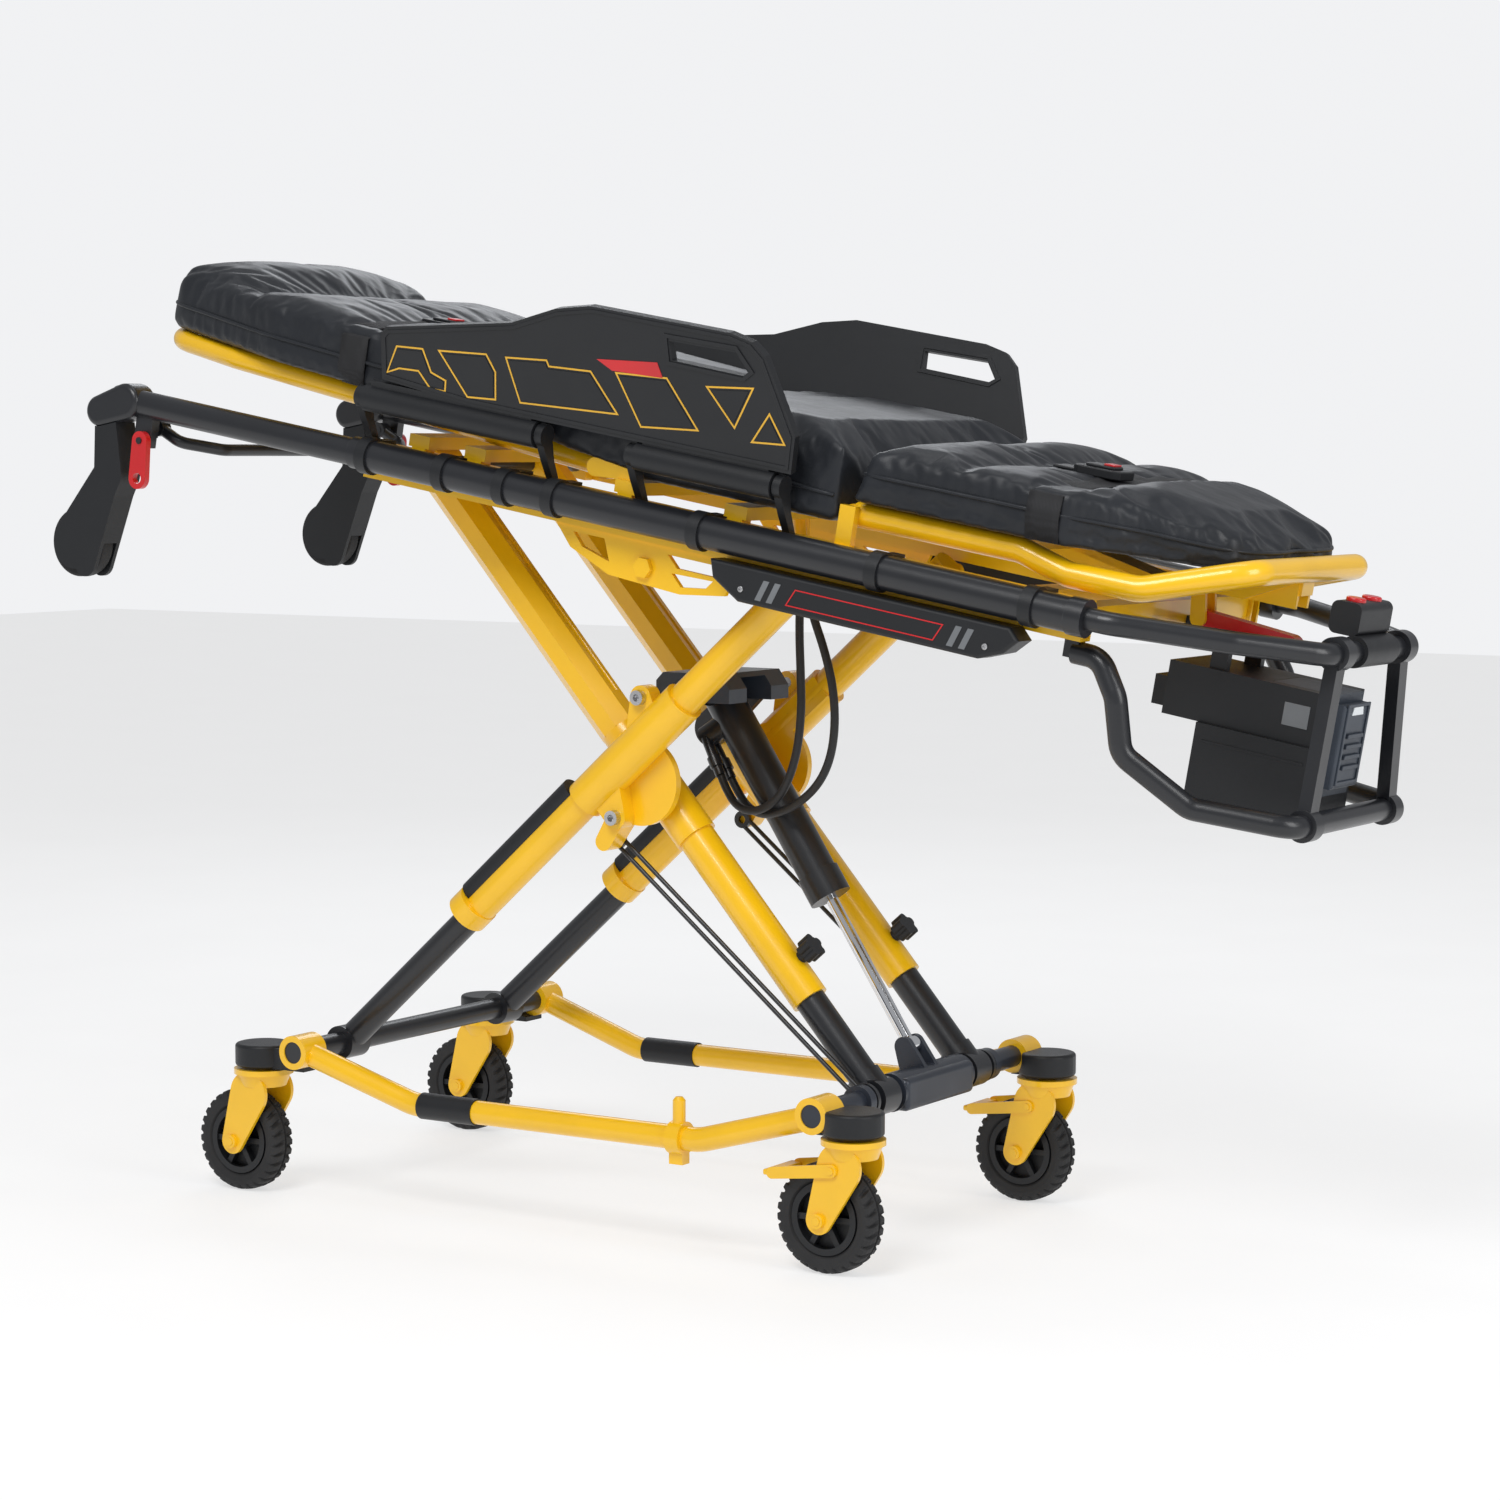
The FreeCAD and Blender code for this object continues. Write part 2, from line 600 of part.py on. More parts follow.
def cylinder_barrel():
    """Hydraulic cylinder below its top eye, with the manifold and fittings of the hoses."""
    way = (ROD_EYE - CYLINDER_TOP).normalize()
    across = V(way.z, 0, -way.x)
    eye = bar_y(CYLINDER_TOP, -30, 30, 21)
    barrel = rod(CYLINDER_TOP + way * 10, CYLINDER_TOP + way * BARREL_LENGTH, BARREL_R)
    gland = rod(CYLINDER_TOP + way * (BARREL_LENGTH - 40), CYLINDER_TOP + way * BARREL_LENGTH, BARREL_R + 3)
    manifold_root = CYLINDER_TOP + way * 48 + V(0, -8, 0)
    manifold = rod(manifold_root, manifold_root + across * 54, 17)
    fittings = []
    for route in HOSE_ROUTES.values():
        into = (route[-1] - route[-2]).normalize()
        fittings.append(rod(route[-1], route[-1] + into * FITTING_LENGTH, HOSE_R + 1.5))
        fittings.append(rod(route[-1] + into * 14, route[-1] + into * 30, HOSE_R + 4))
    shape = fuse([eye, barrel, gland, manifold] + fittings)
    bore = rod(CYLINDER_TOP + way * 60, CYLINDER_TOP + way * (BARREL_LENGTH + 1), 9 + RUN_GAP)
    return cut(shape, [bore, bar_y(CYLINDER_TOP, -80, 80, TOP_SHAFT_R + RUN_GAP)])


def cylinder_rod():
    way = (ROD_EYE - CYLINDER_TOP).normalize()
    rod_bar = rod(CYLINDER_TOP + way * 180, ROD_EYE - way * 8, 9)
    eye = bar_y(ROD_EYE, -10, 10, 13)
    return fuse([rod_bar, eye]).cut(bar_y(ROD_EYE, -20, 20, 6))


def build_legs():
    keep("leg_a_inner_tubes", pair(leg_a_inner()))
    keep("leg_a_outer_tubes", pair(leg_a_outer()))
    keep("leg_a_knobs", pair(leg_a_knob()))
    keep("leg_a_cross_beam", leg_a_cross_beam())
    keep("valve_cover", [valve_cover()])
    keep("leg_b_inner_tubes", pair(leg_b_inner()))
    shaft = bar_y(TOP_PIVOT_B, -236, 236, TOP_SHAFT_R)
    keep("leg_b_outer_tubes", pair(leg_b_outer()) + [shaft])
    keep("leg_b_guards", pair(leg_b_guard()))
    keep("leg_b_clamps", pair(leg_b_clamp()))
    bolts = []
    for along, over in CLAMP_BOLTS:
        bolts += pair(clamp_bolt(along, over))
    keep("clamp_bolts", bolts)
    keep("timing_links", pair(timing_link()))
    keep("cylinder_barrel", [cylinder_barrel()])
    keep("cylinder_rod", [cylinder_rod()])


# ---------------------------------------------------------------- litter frame
RAIL_U0, RAIL_U1 = -262.0, 912.0
RAIL_W0, RAIL_W1 = -35.0, 18.0
TOP_A_U = -239.58
TOP_A_W = -14.0


def side_rail():
    """Hollow yellow extrusion with a groove along its outer face."""
    shell = box(RAIL_U0, RAIL_U1, -RAIL_Y1, -RAIL_Y0, RAIL_W0, RAIL_W1)
    hollow = box(RAIL_U0 - 1, RAIL_U1 + 1, -RAIL_Y1 + 6, -RAIL_Y0 - 4, RAIL_W0 + 4, RAIL_W1 - 4)
    groove = box(RAIL_U0 - 1, RAIL_U1 + 1, -RAIL_Y1 - 1, -RAIL_Y1 + 2, -12, 4)
    return cut(shell, [hollow, groove])


def outer_bar():
    """Black side bar; the head section's tube slides inside it."""
    bar = pipe(V(RAIL_U0, -BAR_Y, 0), V(905, -BAR_Y, 0), BAR_R, SLIDE_R + RUN_GAP)
    sleeve = pipe(V(906, -BAR_Y, 0), V(930, -BAR_Y, 0), BAR_R + 2, 15.02)
    return [bar, sleeve]


CLIP_PLACES = (-235.0, -97.0, 10.0, 95.0, 338.0, 620.0, 850.0)


def rail_clip(u):
    """Clip that ties the side bar to the extrusion."""
    ring = pipe(V(u - 9, -BAR_Y, 0), V(u + 9, -BAR_Y, 0), BAR_R + 4, BAR_R + 0.02)
    strap = box(u - 9, u + 9, -BAR_Y, -RAIL_Y0 - 6, RAIL_W1 + 0.1, RAIL_W1 + 5)
    body = box(u - 9, u + 9, -BAR_Y, -RAIL_Y1 + 0.0, 14, RAIL_W1 + 5)
    shape = ring.fuse(strap).fuse(body)
    tools = [
        rod(V(u - 20, -BAR_Y, 0), V(u + 20, -BAR_Y, 0), BAR_R + 0.02),
        box(u - 20, u + 20, -RAIL_Y1 - 0.1, -RAIL_Y0 + 5, RAIL_W0 - 2, RAIL_W1 + 0.1),
    ]
    return cut(shape, tools)


HINGE_PINS = ((-262.0, 70.0), (210.0, 462.0))
KNUCKLE_R = 20.0
KNUCKLE_GAP = 14.0


def siderail_hinge(low, high):
    """Fixed pin of the siderail's hinge, held by a bracket at each end."""
    pin = rod(V(low, -SIDERAIL_Y, SIDERAIL_W), V(high, -SIDERAIL_Y, SIDERAIL_W), 8)
    pieces = [pin]
    for start in (low, high - KNUCKLE_GAP + 2):
        end = start + KNUCKLE_GAP - 2
        pieces.append(rod(V(start, -SIDERAIL_Y, SIDERAIL_W), V(end, -SIDERAIL_Y, SIDERAIL_W), 16))
        foot = [(-SIDERAIL_Y - 8, 70), (-SIDERAIL_Y + 8, 92), (-276, 48), (-257, RAIL_W1 + 0.1),
                (-270, RAIL_W1 + 0.1), (-290, 44)]
        corners = [V(start, y, w) for y, w in foot]
        face = Part.Face(Part.makePolygon(corners + corners[:1]))
        pieces.append(face.extrude(V(end - start, 0, 0)))
    return fuse(pieces)


def rail_fittings():
    parts = []
    for u in CLIP_PLACES:
        parts += pair(rail_clip(u))
    for low, high in HINGE_PINS:
        parts += pair(siderail_hinge(low, high))
    return parts


CROSS_PLACES = (-170.0, -70.0, 190.0, 372.0)
CROSS_PLACES_LOW = (790.0, 890.0)


def cross_members():
    """Bars across the litter, the bearing blocks of leg A's shaft and the hinge brackets."""
    parts = []
    for u in CROSS_PLACES:
        parts.append(box(u - 18, u + 18, -RAIL_Y1, RAIL_Y1, RAIL_W1 + 5.2, 41))
        for side in (-1, 1):
            pad_y = sorted((side * (RAIL_Y0 + 4), side * RAIL_Y1))
            parts.append(box(u - 12, u + 12, pad_y[0], pad_y[1], RAIL_W1, RAIL_W1 + 5.2))
    for u in CROSS_PLACES_LOW:
        parts.append(box(u - 16, u + 16, -RAIL_Y0, RAIL_Y0, -24, 8))
    for side in (-1, 1):
        y0, y1 = sorted((side * 224, side * (RAIL_Y0 - 0.1)))
        block = box(TOP_A_U - 22, TOP_A_U + 22, y0, y1, -36, 12)
        parts.append(block.cut(bar_y(V(TOP_A_U, 0, TOP_A_W), -260, 260, TOP_SHAFT_R + RUN_GAP)))
        y0, y1 = sorted((side * 252, side * 264))
        lug = link_plate(V(HIP_U, 0, HIP_W), 13, V(182, 0, 41 + 8), 8, y0, y1)
        lug = lug.fuse(box(172, 200, y0, y1, 41, 57))
        pin = bar_y(V(HIP_U, 0, HIP_W), *sorted((side * 214, side * 264)), 7)
        parts.append(lug.fuse(pin).removeSplitter())
        lug = box(KNEE_U - 12, KNEE_U + 12, y0, y1, RAIL_W1, KNEE_W + 12)
        pin = bar_y(V(KNEE_U, 0, KNEE_W), *sorted((side * 214, side * 264)), 7)
        parts.append(lug.fuse(pin).removeSplitter())
    return parts


def track_plate():
    """Cut-out plate under the rail beside the top of the crossing legs."""
    outline = [(80, RAIL_W0), (388, RAIL_W0), (372, -84), (300, -96), (180, -92), (110, -66)]
    plate = plate_xz(outline, -266, -258)
    windows = [
        [(112, -44), (165, -44), (178, -74), (130, -62)],
        [(272, -46), (345, -46), (352, -62), (290, -62)],
        [(282, -70), (350, -68), (340, -80), (300, -86)],
    ]
    holes = [plate_xz(window, -280, -240) for window in windows]
    holes.append(bar_y(V(237, 0, -71), -280, -240, 12))
    plate = cut(plate, holes)
    return plate


def hex_bolt():
    """Hexagon bolt that fills the track plate's round hole."""
    shank = bar_y(V(237, 0, -71), -266, -256, 11.9)
    corners = []
    for count in range(6):
        angle = math.radians(60 * count)
        corners.append((237 + 15 * math.cos(angle), -71 + 15 * math.sin(angle)))
    head = plate_xz(corners, -274, -266.1)
    return shank.fuse(head)


def side_cover():
    """Long black cover under the side bar, with a chamfered nose at each end."""
    outline = [(368, -31), (830, -31), (846, -46), (826, -66), (790, -80), (420, -80), (376, -56)]
    shell = plate_xz(outline, -312, -274)
    shell = soften(shell, 5, lambda edge: edge.BoundBox.YMax < -311 and edge.BoundBox.YLength < 0.01)
    bar_way = rod(V(300, -BAR_Y, 0), V(930, -BAR_Y, 0), BAR_R + 5)
    return shell.cut(bar_way)


LIFT_R = 15.0
UPPER_LIFT_U = 1190.0
LOWER_LIFT_U = 1201.0
LOWER_LIFT_W = -220.0


def upper_lift_bar():
    points = [V(907, -BAR_Y, 0), V(960, -BAR_Y, 0), V(1095, -216, 0), V(UPPER_LIFT_U, -136, 0)]
    return half_loop(points, LIFT_R, 40, TUBE_WALL)


def lower_lift_bar():
    points = [
        V(900, -256, -51),
        V(938, -258, -51),
        V(970, -262, -95),
        V(988, -256, -165),
        V(1074, -212, LOWER_LIFT_W),
        V(LOWER_LIFT_U, -172, LOWER_LIFT_W),
    ]
    stub = box(888, 908, -266, -247, -58, RAIL_W0)
    return half_loop(points, LIFT_R, 34, TUBE_WALL), stub


def lift_post(side):
    """Flat post between the two lift bars, with a clamp ring on each bar."""
    top = V(UPPER_LIFT_U, side * 103, 0)
    foot = V(LOWER_LIFT_U, side * 132, LOWER_LIFT_W)
    rings = [bar_y(top, top.y - 13, top.y + 13, LIFT_R + 7), bar_y(foot, foot.y - 13, foot.y + 13, LIFT_R + 6)]
    profile = [V(-9, -13, 0), V(9, -13, 0), V(9, 13, 0), V(-9, 13, 0)]
    faces = []
    for centre in (top, foot):
        corners = [centre + corner for corner in profile]
        faces.append(Part.Wire(Part.makePolygon(corners + corners[:1]).Edges))
    web = Part.makeLoft(faces, True)
    shape = fuse(rings + [web])
    bores = [bar_y(top, -300, 300, LIFT_R + 0.02), bar_y(foot, -300, 300, LIFT_R + 0.02)]
    return cut(shape, bores)


POCKET = (1086.0, 1190.0, 46.0, -196.0, -60.0)


def battery_case():
    """Power housing under the foot end, with a pocket for the battery."""
    u0, u1, half, w0, w1 = POCKET
    head = box(946, 1168, -66, 66, -132, -60)
    nose = box(912, 948, -30, 30, -128, -88)
    body = box(1000, 1168, -72, 72, -238, -132)
    pieces = [head, nose, body]
    for side in (-1, 1):
        y0, y1 = sorted((side * 48, side * 60))
        pieces += [box(906, 1024, y0, y1, -24, -14), box(1000, 1024, y0, y1, -61, -14)]
    case = fuse(pieces)
    return case.cut(box(u0, u1, -half - 1, half + 1, w0 - 1, w1 + 1))


def control_pod():
    """Foot end switch housing, clamped round the upper lift bar, with two button wells."""
    pod = box(UPPER_LIFT_U - 40, UPPER_LIFT_U + 2, -52, 52, 19, 62)
    pod = soften(pod, 10, lambda edge: abs(edge.BoundBox.YLength) > 50)
    ring = bar_y(V(UPPER_LIFT_U, 0, 0), -52, 52, LIFT_R + 6)
    shape = fuse([pod, ring])
    tools = [bar_y(V(UPPER_LIFT_U, 0, 0), -90, 90, LIFT_R + 0.02)]
    for y in (-26, 26):
        tools.append(rod(V(UPPER_LIFT_U - 19, y, 50), V(UPPER_LIFT_U - 19, y, 80), 13 + CLEAR))
    return cut(shape, tools)


def control_buttons():
    """Raise and lower buttons, 4 mm of travel into their wells."""
    buttons = []
    for y in (-26, 26):
        button = rod(V(UPPER_LIFT_U - 19, y, 55), V(UPPER_LIFT_U - 19, y, 67), 13)
        rim = [e for e in button.Edges if e.BoundBox.ZMin > 66]
        buttons.append(button.makeFillet(2.5, rim))
    return buttons


def battery_pack():
    u0, u1, half, w0, w1 = POCKET
    body = box(u0 + 1, 1176, -half, half, w0, w1)
    face = box(1174, 1190, -half + 5, half - 5, w0 + 12, w1 - 12)
    face = soften(face, 5, lambda edge: edge.BoundBox.XMin > 1189)
    return body.fuse(face).removeSplitter()


def hose_glands():
    """Unions above the hoses' litter ends, under the cross member that holds them."""
    member = on_litter(box(300, 440, -120, 0, RAIL_W1 + 5.2, 120))
    glands = []
    for route in HOSE_ROUTES.values():
        way = (route[0] - route[1]).normalize()
        glands.append(rod(route[0], route[0] + way * 90, HOSE_R + 3).cut(member))
    return glands


def build_litter():
    keep("litter_side_rails", [on_litter(s) for s in pair(side_rail())])
    bars = []
    for piece in outer_bar():
        bars += pair(piece)
    keep("outer_bars", [on_litter(s) for s in bars])
    keep("rail_fittings", [on_litter(s) for s in rail_fittings()])
    frame = cross_members() + pair(track_plate()) + pair(hex_bolt())
    keep("litter_cross_frame", [on_litter(s) for s in frame] + hose_glands())
    keep("side_covers", [on_litter(s) for s in pair(side_cover())])
    keep("upper_lift_bar", [on_litter(upper_lift_bar())])
    bar, stub = lower_lift_bar()
    keep("lower_lift_bar", [on_litter(fuse([bar] + pair(stub)))])
    keep("lift_bar_posts", [on_litter(lift_post(-1)), on_litter(lift_post(1))])
    keep("foot_end_housings", [on_litter(battery_case()), on_litter(control_pod())])
    keep("control_buttons", [on_litter(s) for s in control_buttons()])
    keep("battery_pack", [on_litter(battery_pack())])


# ---------------------------------------------------------------- head section
SLIDE_HEAD_U = -700.0
NECK = V(-690, 0, -116)
SAFETY_PIVOT = V(-655, 0, -34)


def head_tube():
    """Sliding tube with an elbow block at its head end."""
    tube = rod(V(SLIDE_HEAD_U - 20, -BAR_Y, 0), V(300, -BAR_Y, 0), SLIDE_R)
    hollow = rod(V(-600, -BAR_Y, 0), V(301, -BAR_Y, 0), SLIDE_R - 3)
    tube = tube.cut(hollow)
    elbow = link_plate(V(-690, 0, 0), 27, V(-738, 0, -22), 23, -BAR_Y - 24, -BAR_Y + 24)
    elbow = soften(elbow, 8, lambda edge: edge.BoundBox.YLength < 0.01)
    lug = box(-672, -640, -BAR_Y - 8, -BAR_Y + 8, -46, 0)
    hinge = bar_y(SAFETY_PIVOT, -BAR_Y + 6, -BAR_Y + 40, 6)
    return fuse([tube, elbow, lug, hinge])


def load_housing():
    """Leg of a loading wheel: a bent arm that forks round the wheel."""
    top = V(-722, 0, -30)
    knee = V(-704, 0, -112)
    y0, y1 = -BAR_Y - 21, -BAR_Y + 21
    arm = link_plate(top, 20, knee, 27, y0, y1)
    shoe = link_plate(knee, 27, LOAD_WHEEL, 40, y0, y1)
    back = link_plate(knee, 24, V(-728, 0, -252), 20, y0, y1)
    shape = fuse([arm, shoe, back])
    elbow_way = link_plate(V(-690, 0, 0), 27.05, V(-738, 0, -22), 23.05, y0 - 5, y1 + 5)
    slot = bar_y(LOAD_WHEEL, -BAR_Y - 14, -BAR_Y + 14, LOAD_WHEEL_R + 3)
    lower = box(-900, -640, -BAR_Y - 14, -BAR_Y + 14, -400, LOAD_WHEEL.z)
    axle = bar_y(LOAD_WHEEL, y0, y1, 7)
    shape = cut(shape, [elbow_way, slot, lower])
    return fuse([shape, axle])


def load_wheel(side):
    wheel = ring_y(LOAD_WHEEL, -12, 12, LOAD_WHEEL_R, 7 + RUN_GAP)
    rims = [e for e in wheel.Edges if abs(e.BoundBox.XLength - 2 * LOAD_WHEEL_R) < 0.1 and e.Closed]
    wheel = wheel.makeFillet(5, [e for e in rims if e.BoundBox.YLength < 0.01])
    wheel.translate(V(0, side * BAR_Y, 0))
    return wheel


def safety_bar():
    """Bar across the head section that catches the vehicle's safety hook."""
    side_y = BAR_Y - 30
    points = [V(SAFETY_PIVOT.x, -side_y, SAFETY_PIVOT.z), V(-615, -side_y, -48), V(-572, -215, -52)]
    bar = half_loop(points, 9, 24, TUBE_WALL)
    eyes = []
    for side in (-1, 1):
        y0, y1 = sorted((side * (side_y - 9), side * (side_y + 9)))
        eyes.append(bar_y(SAFETY_PIVOT, y0, y1, 12))
    shape = fuse([bar] + eyes)
    return shape.cut(bar_y(SAFETY_PIVOT, -400, 400, 6 + RUN_GAP))


LEVER_PIVOT = V(-652, 0, -52)


def retract_lever():
    """Red lever with a finger ring, outside the head section's lug."""
    y0, y1 = -BAR_Y - 19, -BAR_Y - 9
    grip = V(-648, 0, -108)
    plate = link_plate(LEVER_PIVOT, 14, grip, 16, y0, y1)
    return cut(plate, [bar_y(grip, -400, -200, 8), bar_y(LEVER_PIVOT, -400, -200, 5 + RUN_GAP)])


def lever_pin():
    lug = box(-662, -642, -BAR_Y - 8, -BAR_Y + 8, -62, -20)
    pin = bar_y(LEVER_PIVOT, -BAR_Y - 21, -BAR_Y, 5)
    return lug.fuse(pin)


def build_head_section():
    tube = fuse([head_tube(), lever_pin()])
    keep("head_section_tubes", [on_litter(s) for s in pair(tube)])
    keep("load_wheel_housings", [on_litter(s) for s in pair(load_housing())])
    keep("load_wheel_right", [on_litter(load_wheel(-1))])
    keep("load_wheel_left", [on_litter(load_wheel(1))])
    keep("safety_bar", [on_litter(safety_bar())])
    keep("retract_levers", [on_litter(s) for s in pair(retract_lever())])


# ---------------------------------------------------------------- backrest, seat and leg section
PAD_ROUND = 14.0
PAD_HALF = 272.0


def backrest_frame():
    """Yellow tube loop under the backrest, with an eye on each hip pin."""
    eye_y = 226.0
    points = [V(HIP_U - 4, -eye_y, HIP_W), V(-560, -eye_y, HIP_W), V(-716, -196, HIP_W)]
    loop = half_loop(points, 16, 60, TUBE_WALL)
    slats = [box(u - 15, u + 15, -222, 222, HIP_W - 6, HIP_W + 8) for u in (-560, -380, -200)]
    eyes = [bar_y(V(HIP_U, 0, HIP_W), *sorted((s * 216, s * 240)), 17) for s in (-1, 1)]
    shape = fuse([loop] + slats + eyes)
    return shape.cut(bar_y(V(HIP_U, 0, HIP_W), -300, 300, 7 + RUN_GAP))


def mattress_back():
    """Back cushion with a raised head bolster; its seat end is cut back for the fold."""
    bottom = HIP_W + 17
    plan = [(128, -PAD_HALF), (-470, -PAD_HALF), (-700, -218), (-722, -180)]
    plan += [(u, -y) for u, y in reversed(plan)]
    slab = plate_xy(plan, bottom, bottom + 84)
    fold = plate_xz([(HIP_U - 6, bottom - 5), (HIP_U + 40, bottom - 5), (HIP_U + 40, 300),
                     (HIP_U - 100, 300)], -400, 400)
    slab = slab.cut(fold)
    slab = soften(slab, PAD_ROUND, lambda edge: edge.BoundBox.XMax < HIP_U - 20)
    bolster = box(-716, -548, -196, 196, bottom + 56, bottom + 94)
    bolster = soften(bolster, PAD_ROUND)
    return slab.fuse(bolster).removeSplitter()


def mattress_seat():
    bottom = 46.0
    top = 152.0
    outline = [(HIP_U + 74, bottom), (KNEE_U - 15, bottom), (KNEE_U - 15, top - 6),
               (KNEE_U - 36, top), (HIP_U + 132, top)]
    pad = plate_xz(outline, -PAD_HALF, PAD_HALF)
    return soften(pad, PAD_ROUND, lambda edge: edge.BoundBox.YLength < 0.01 and edge.BoundBox.XLength > 60)


FOOT_BAR_U, FOOT_BAR_W = 1088.0, 86.0
RELEASE_PIVOT = V(952, 0, -6)
BRACKET_Y0, BRACKET_Y1 = 12.0, 18.0


def leg_section_frame():
    """Yellow tube loop of the leg section, rising round the foot of the mattress."""
    points = [
        V(KNEE_U, -235, KNEE_W),
        V(790, -235, KNEE_W),
        V(862, -235, 42),
        V(962, -228, 42),
        V(FOOT_BAR_U, -172, FOOT_BAR_W),
    ]
    loop = half_loop(points, 17, 40, TUBE_WALL)
    eyes = [bar_y(V(KNEE_U, 0, KNEE_W), *sorted((s * 223, s * 247)), 14) for s in (-1, 1)]
    slats = [box(u - 14, u + 14, -232, 232, KNEE_W - 5, KNEE_W + 9) for u in (640, 760)]
    spine = [(640, KNEE_W), (760, KNEE_W), (880, 40), (1010, 46), (FOOT_BAR_U, FOOT_BAR_W - 8),
             (FOOT_BAR_U, FOOT_BAR_W - 16), (1016, 34), (876, 30), (756, 50), (640, 50)]
    middle = plate_xz(spine, -28, 28)
    cheek = [(930, 34), (1088, 34), (1088, 76), (1036, 62), (1000, 44), (930, 38)]
    step = [(1020, 34), (1092, 52), (1092, 80), (1020, 48)]
    cheeks = [plate_xz(cheek, y - 3, y + 3) for y in (-BRACKET_Y1, BRACKET_Y1)]
    lugs = [link_plate(RELEASE_PIVOT, 11, V(946, 0, 36), 10, *sorted((s * BRACKET_Y0, s * BRACKET_Y1)))
            for s in (-1, 1)]
    pin = bar_y(RELEASE_PIVOT, -BRACKET_Y1, BRACKET_Y1, 5)
    brackets = [middle, plate_xz(step, -BRACKET_Y1, BRACKET_Y1), pin]
    shape = fuse([loop] + eyes + slats + brackets + cheeks + lugs)
    return shape.cut(bar_y(V(KNEE_U, 0, KNEE_W), -300, 300, 7 + RUN_GAP))


def mattress_leg():
    """Leg cushion: full width to past the knee, then narrower inside the foot loop."""
    bottom = KNEE_W + 19
    plan = [(KNEE_U + 6, -PAD_HALF), (862, -PAD_HALF), (948, -205), (1000, -184), (1050, -156), (1068, -110)]
    plan += [(u, -y) for u, y in reversed(plan)]
    slab = plate_xy(plan, bottom, 150)
    heel = plate_xz([(KNEE_U, bottom - 1), (KNEE_U + 6, bottom - 1), (KNEE_U + 30, 160), (KNEE_U, 160)],
                    -400, 400)
    return soften(slab.cut(heel), PAD_ROUND, lambda edge: edge.BoundBox.ZMin > bottom + 60)


def release_lever():
    """Red lever under the leg section, between two lugs of its bracket."""
    half = BRACKET_Y0 - 0.5
    arm = link_plate(RELEASE_PIVOT, 12, V(1082, 0, -16), 14, -half, half)
    return arm.cut(bar_y(RELEASE_PIVOT, -200, 200, 5 + RUN_GAP))


def siderail():
    """Siderail plate with a handle slot, on two hinge tubes; drawn upright, then flared."""
    plate = plate_xz([(-216, 34), (-60, 22), (50, 22), (262, 22), (474, 22), (480, 74), (432, 176),
                      (412, 192), (376, 199), (150, 199), (92, 186), (16, 154), (-206, 112),
                      (-216, 100)], -6, 6)
    slot = plate_xz([(279, 172), (386, 174), (406, 150), (398, 144), (284, 146)], -20, 20)
    plate = plate.cut(slot)
    knuckles = []
    bores = []
    for low, high in HINGE_PINS:
        start = V(low + KNUCKLE_GAP, 0, 0)
        end = V(high - KNUCKLE_GAP, 0, 0)
        knuckles.append(rod(start, end, KNUCKLE_R))
        bores.append(rod(start - X_AXIS * 20, end + X_AXIS * 20, 8 + RUN_GAP))
        knuckles.append(box(low + 24, high - 24, -5, 5, 14, 28))
    shape = cut(fuse([plate] + knuckles), bores)
    shape.rotate(V(0, 0, 0), X_AXIS, SIDERAIL_FLARE)
    shape.translate(V(0, -SIDERAIL_Y, SIDERAIL_W))
    return shape


def build_patient_surface():
    keep("backrest_frame", [on_backrest(backrest_frame())])
    keep("mattress_back", [on_backrest(mattress_back())])
    keep("mattress_seat", [on_litter(mattress_seat())])
    keep("leg_section_frame", [on_litter(leg_section_frame())])
    keep("mattress_leg", [on_litter(mattress_leg())])
    keep("release_lever", [on_litter(release_lever())])
    keep("siderail_right", [on_litter(siderail())])
    keep("siderail_left", [on_litter(mirrored(siderail()))])


# ---------------------------------------------------------------- hydraulic hoses
def hose(points):
    """Straight runs joined by arcs as large as the runs allow; prints the radii."""
    radii = []
    for before, corner, after in zip(points, points[1:], points[2:]):
        into = corner - before
        out = after - corner
        turn = into.getAngle(out)
        radii.append(0.45 * min(into.Length, out.Length) / math.tan(turn / 2))
    path = rounded_path(points, radii)
    section = Part.Wire([Part.Circle(points[0], points[1] - points[0], HOSE_R).toShape()])
    tube = path.makePipeShell([section], True, True)
    print("hose radii", [round(r) for r in radii], "length", round(path.Length),
          "volume ratio", round(tube.Volume / (math.pi * HOSE_R ** 2 * path.Length), 3))
    return tube


def build_hoses():
    for name, points in HOSE_ROUTES.items():
        keep(name, [hose(points)])


os.makedirs("parts", exist_ok=True)
build_base()
build_casters()
build_legs()
build_litter()
build_head_section()
build_patient_surface()
build_hoses()

whole = Part.makeCompound(list(PARTS.values()))
bounds = whole.BoundBox
print(len(PARTS), "nodes; box", [round(v, 1) for v in (bounds.XMin, bounds.XMax, bounds.YMin,
                                                       bounds.YMax, bounds.ZMin, bounds.ZMax)])
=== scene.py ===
import json
import math

import bmesh
import bpy
import numpy as np
from mathutils import Matrix, Vector
from mathutils.bvhtree import BVHTree


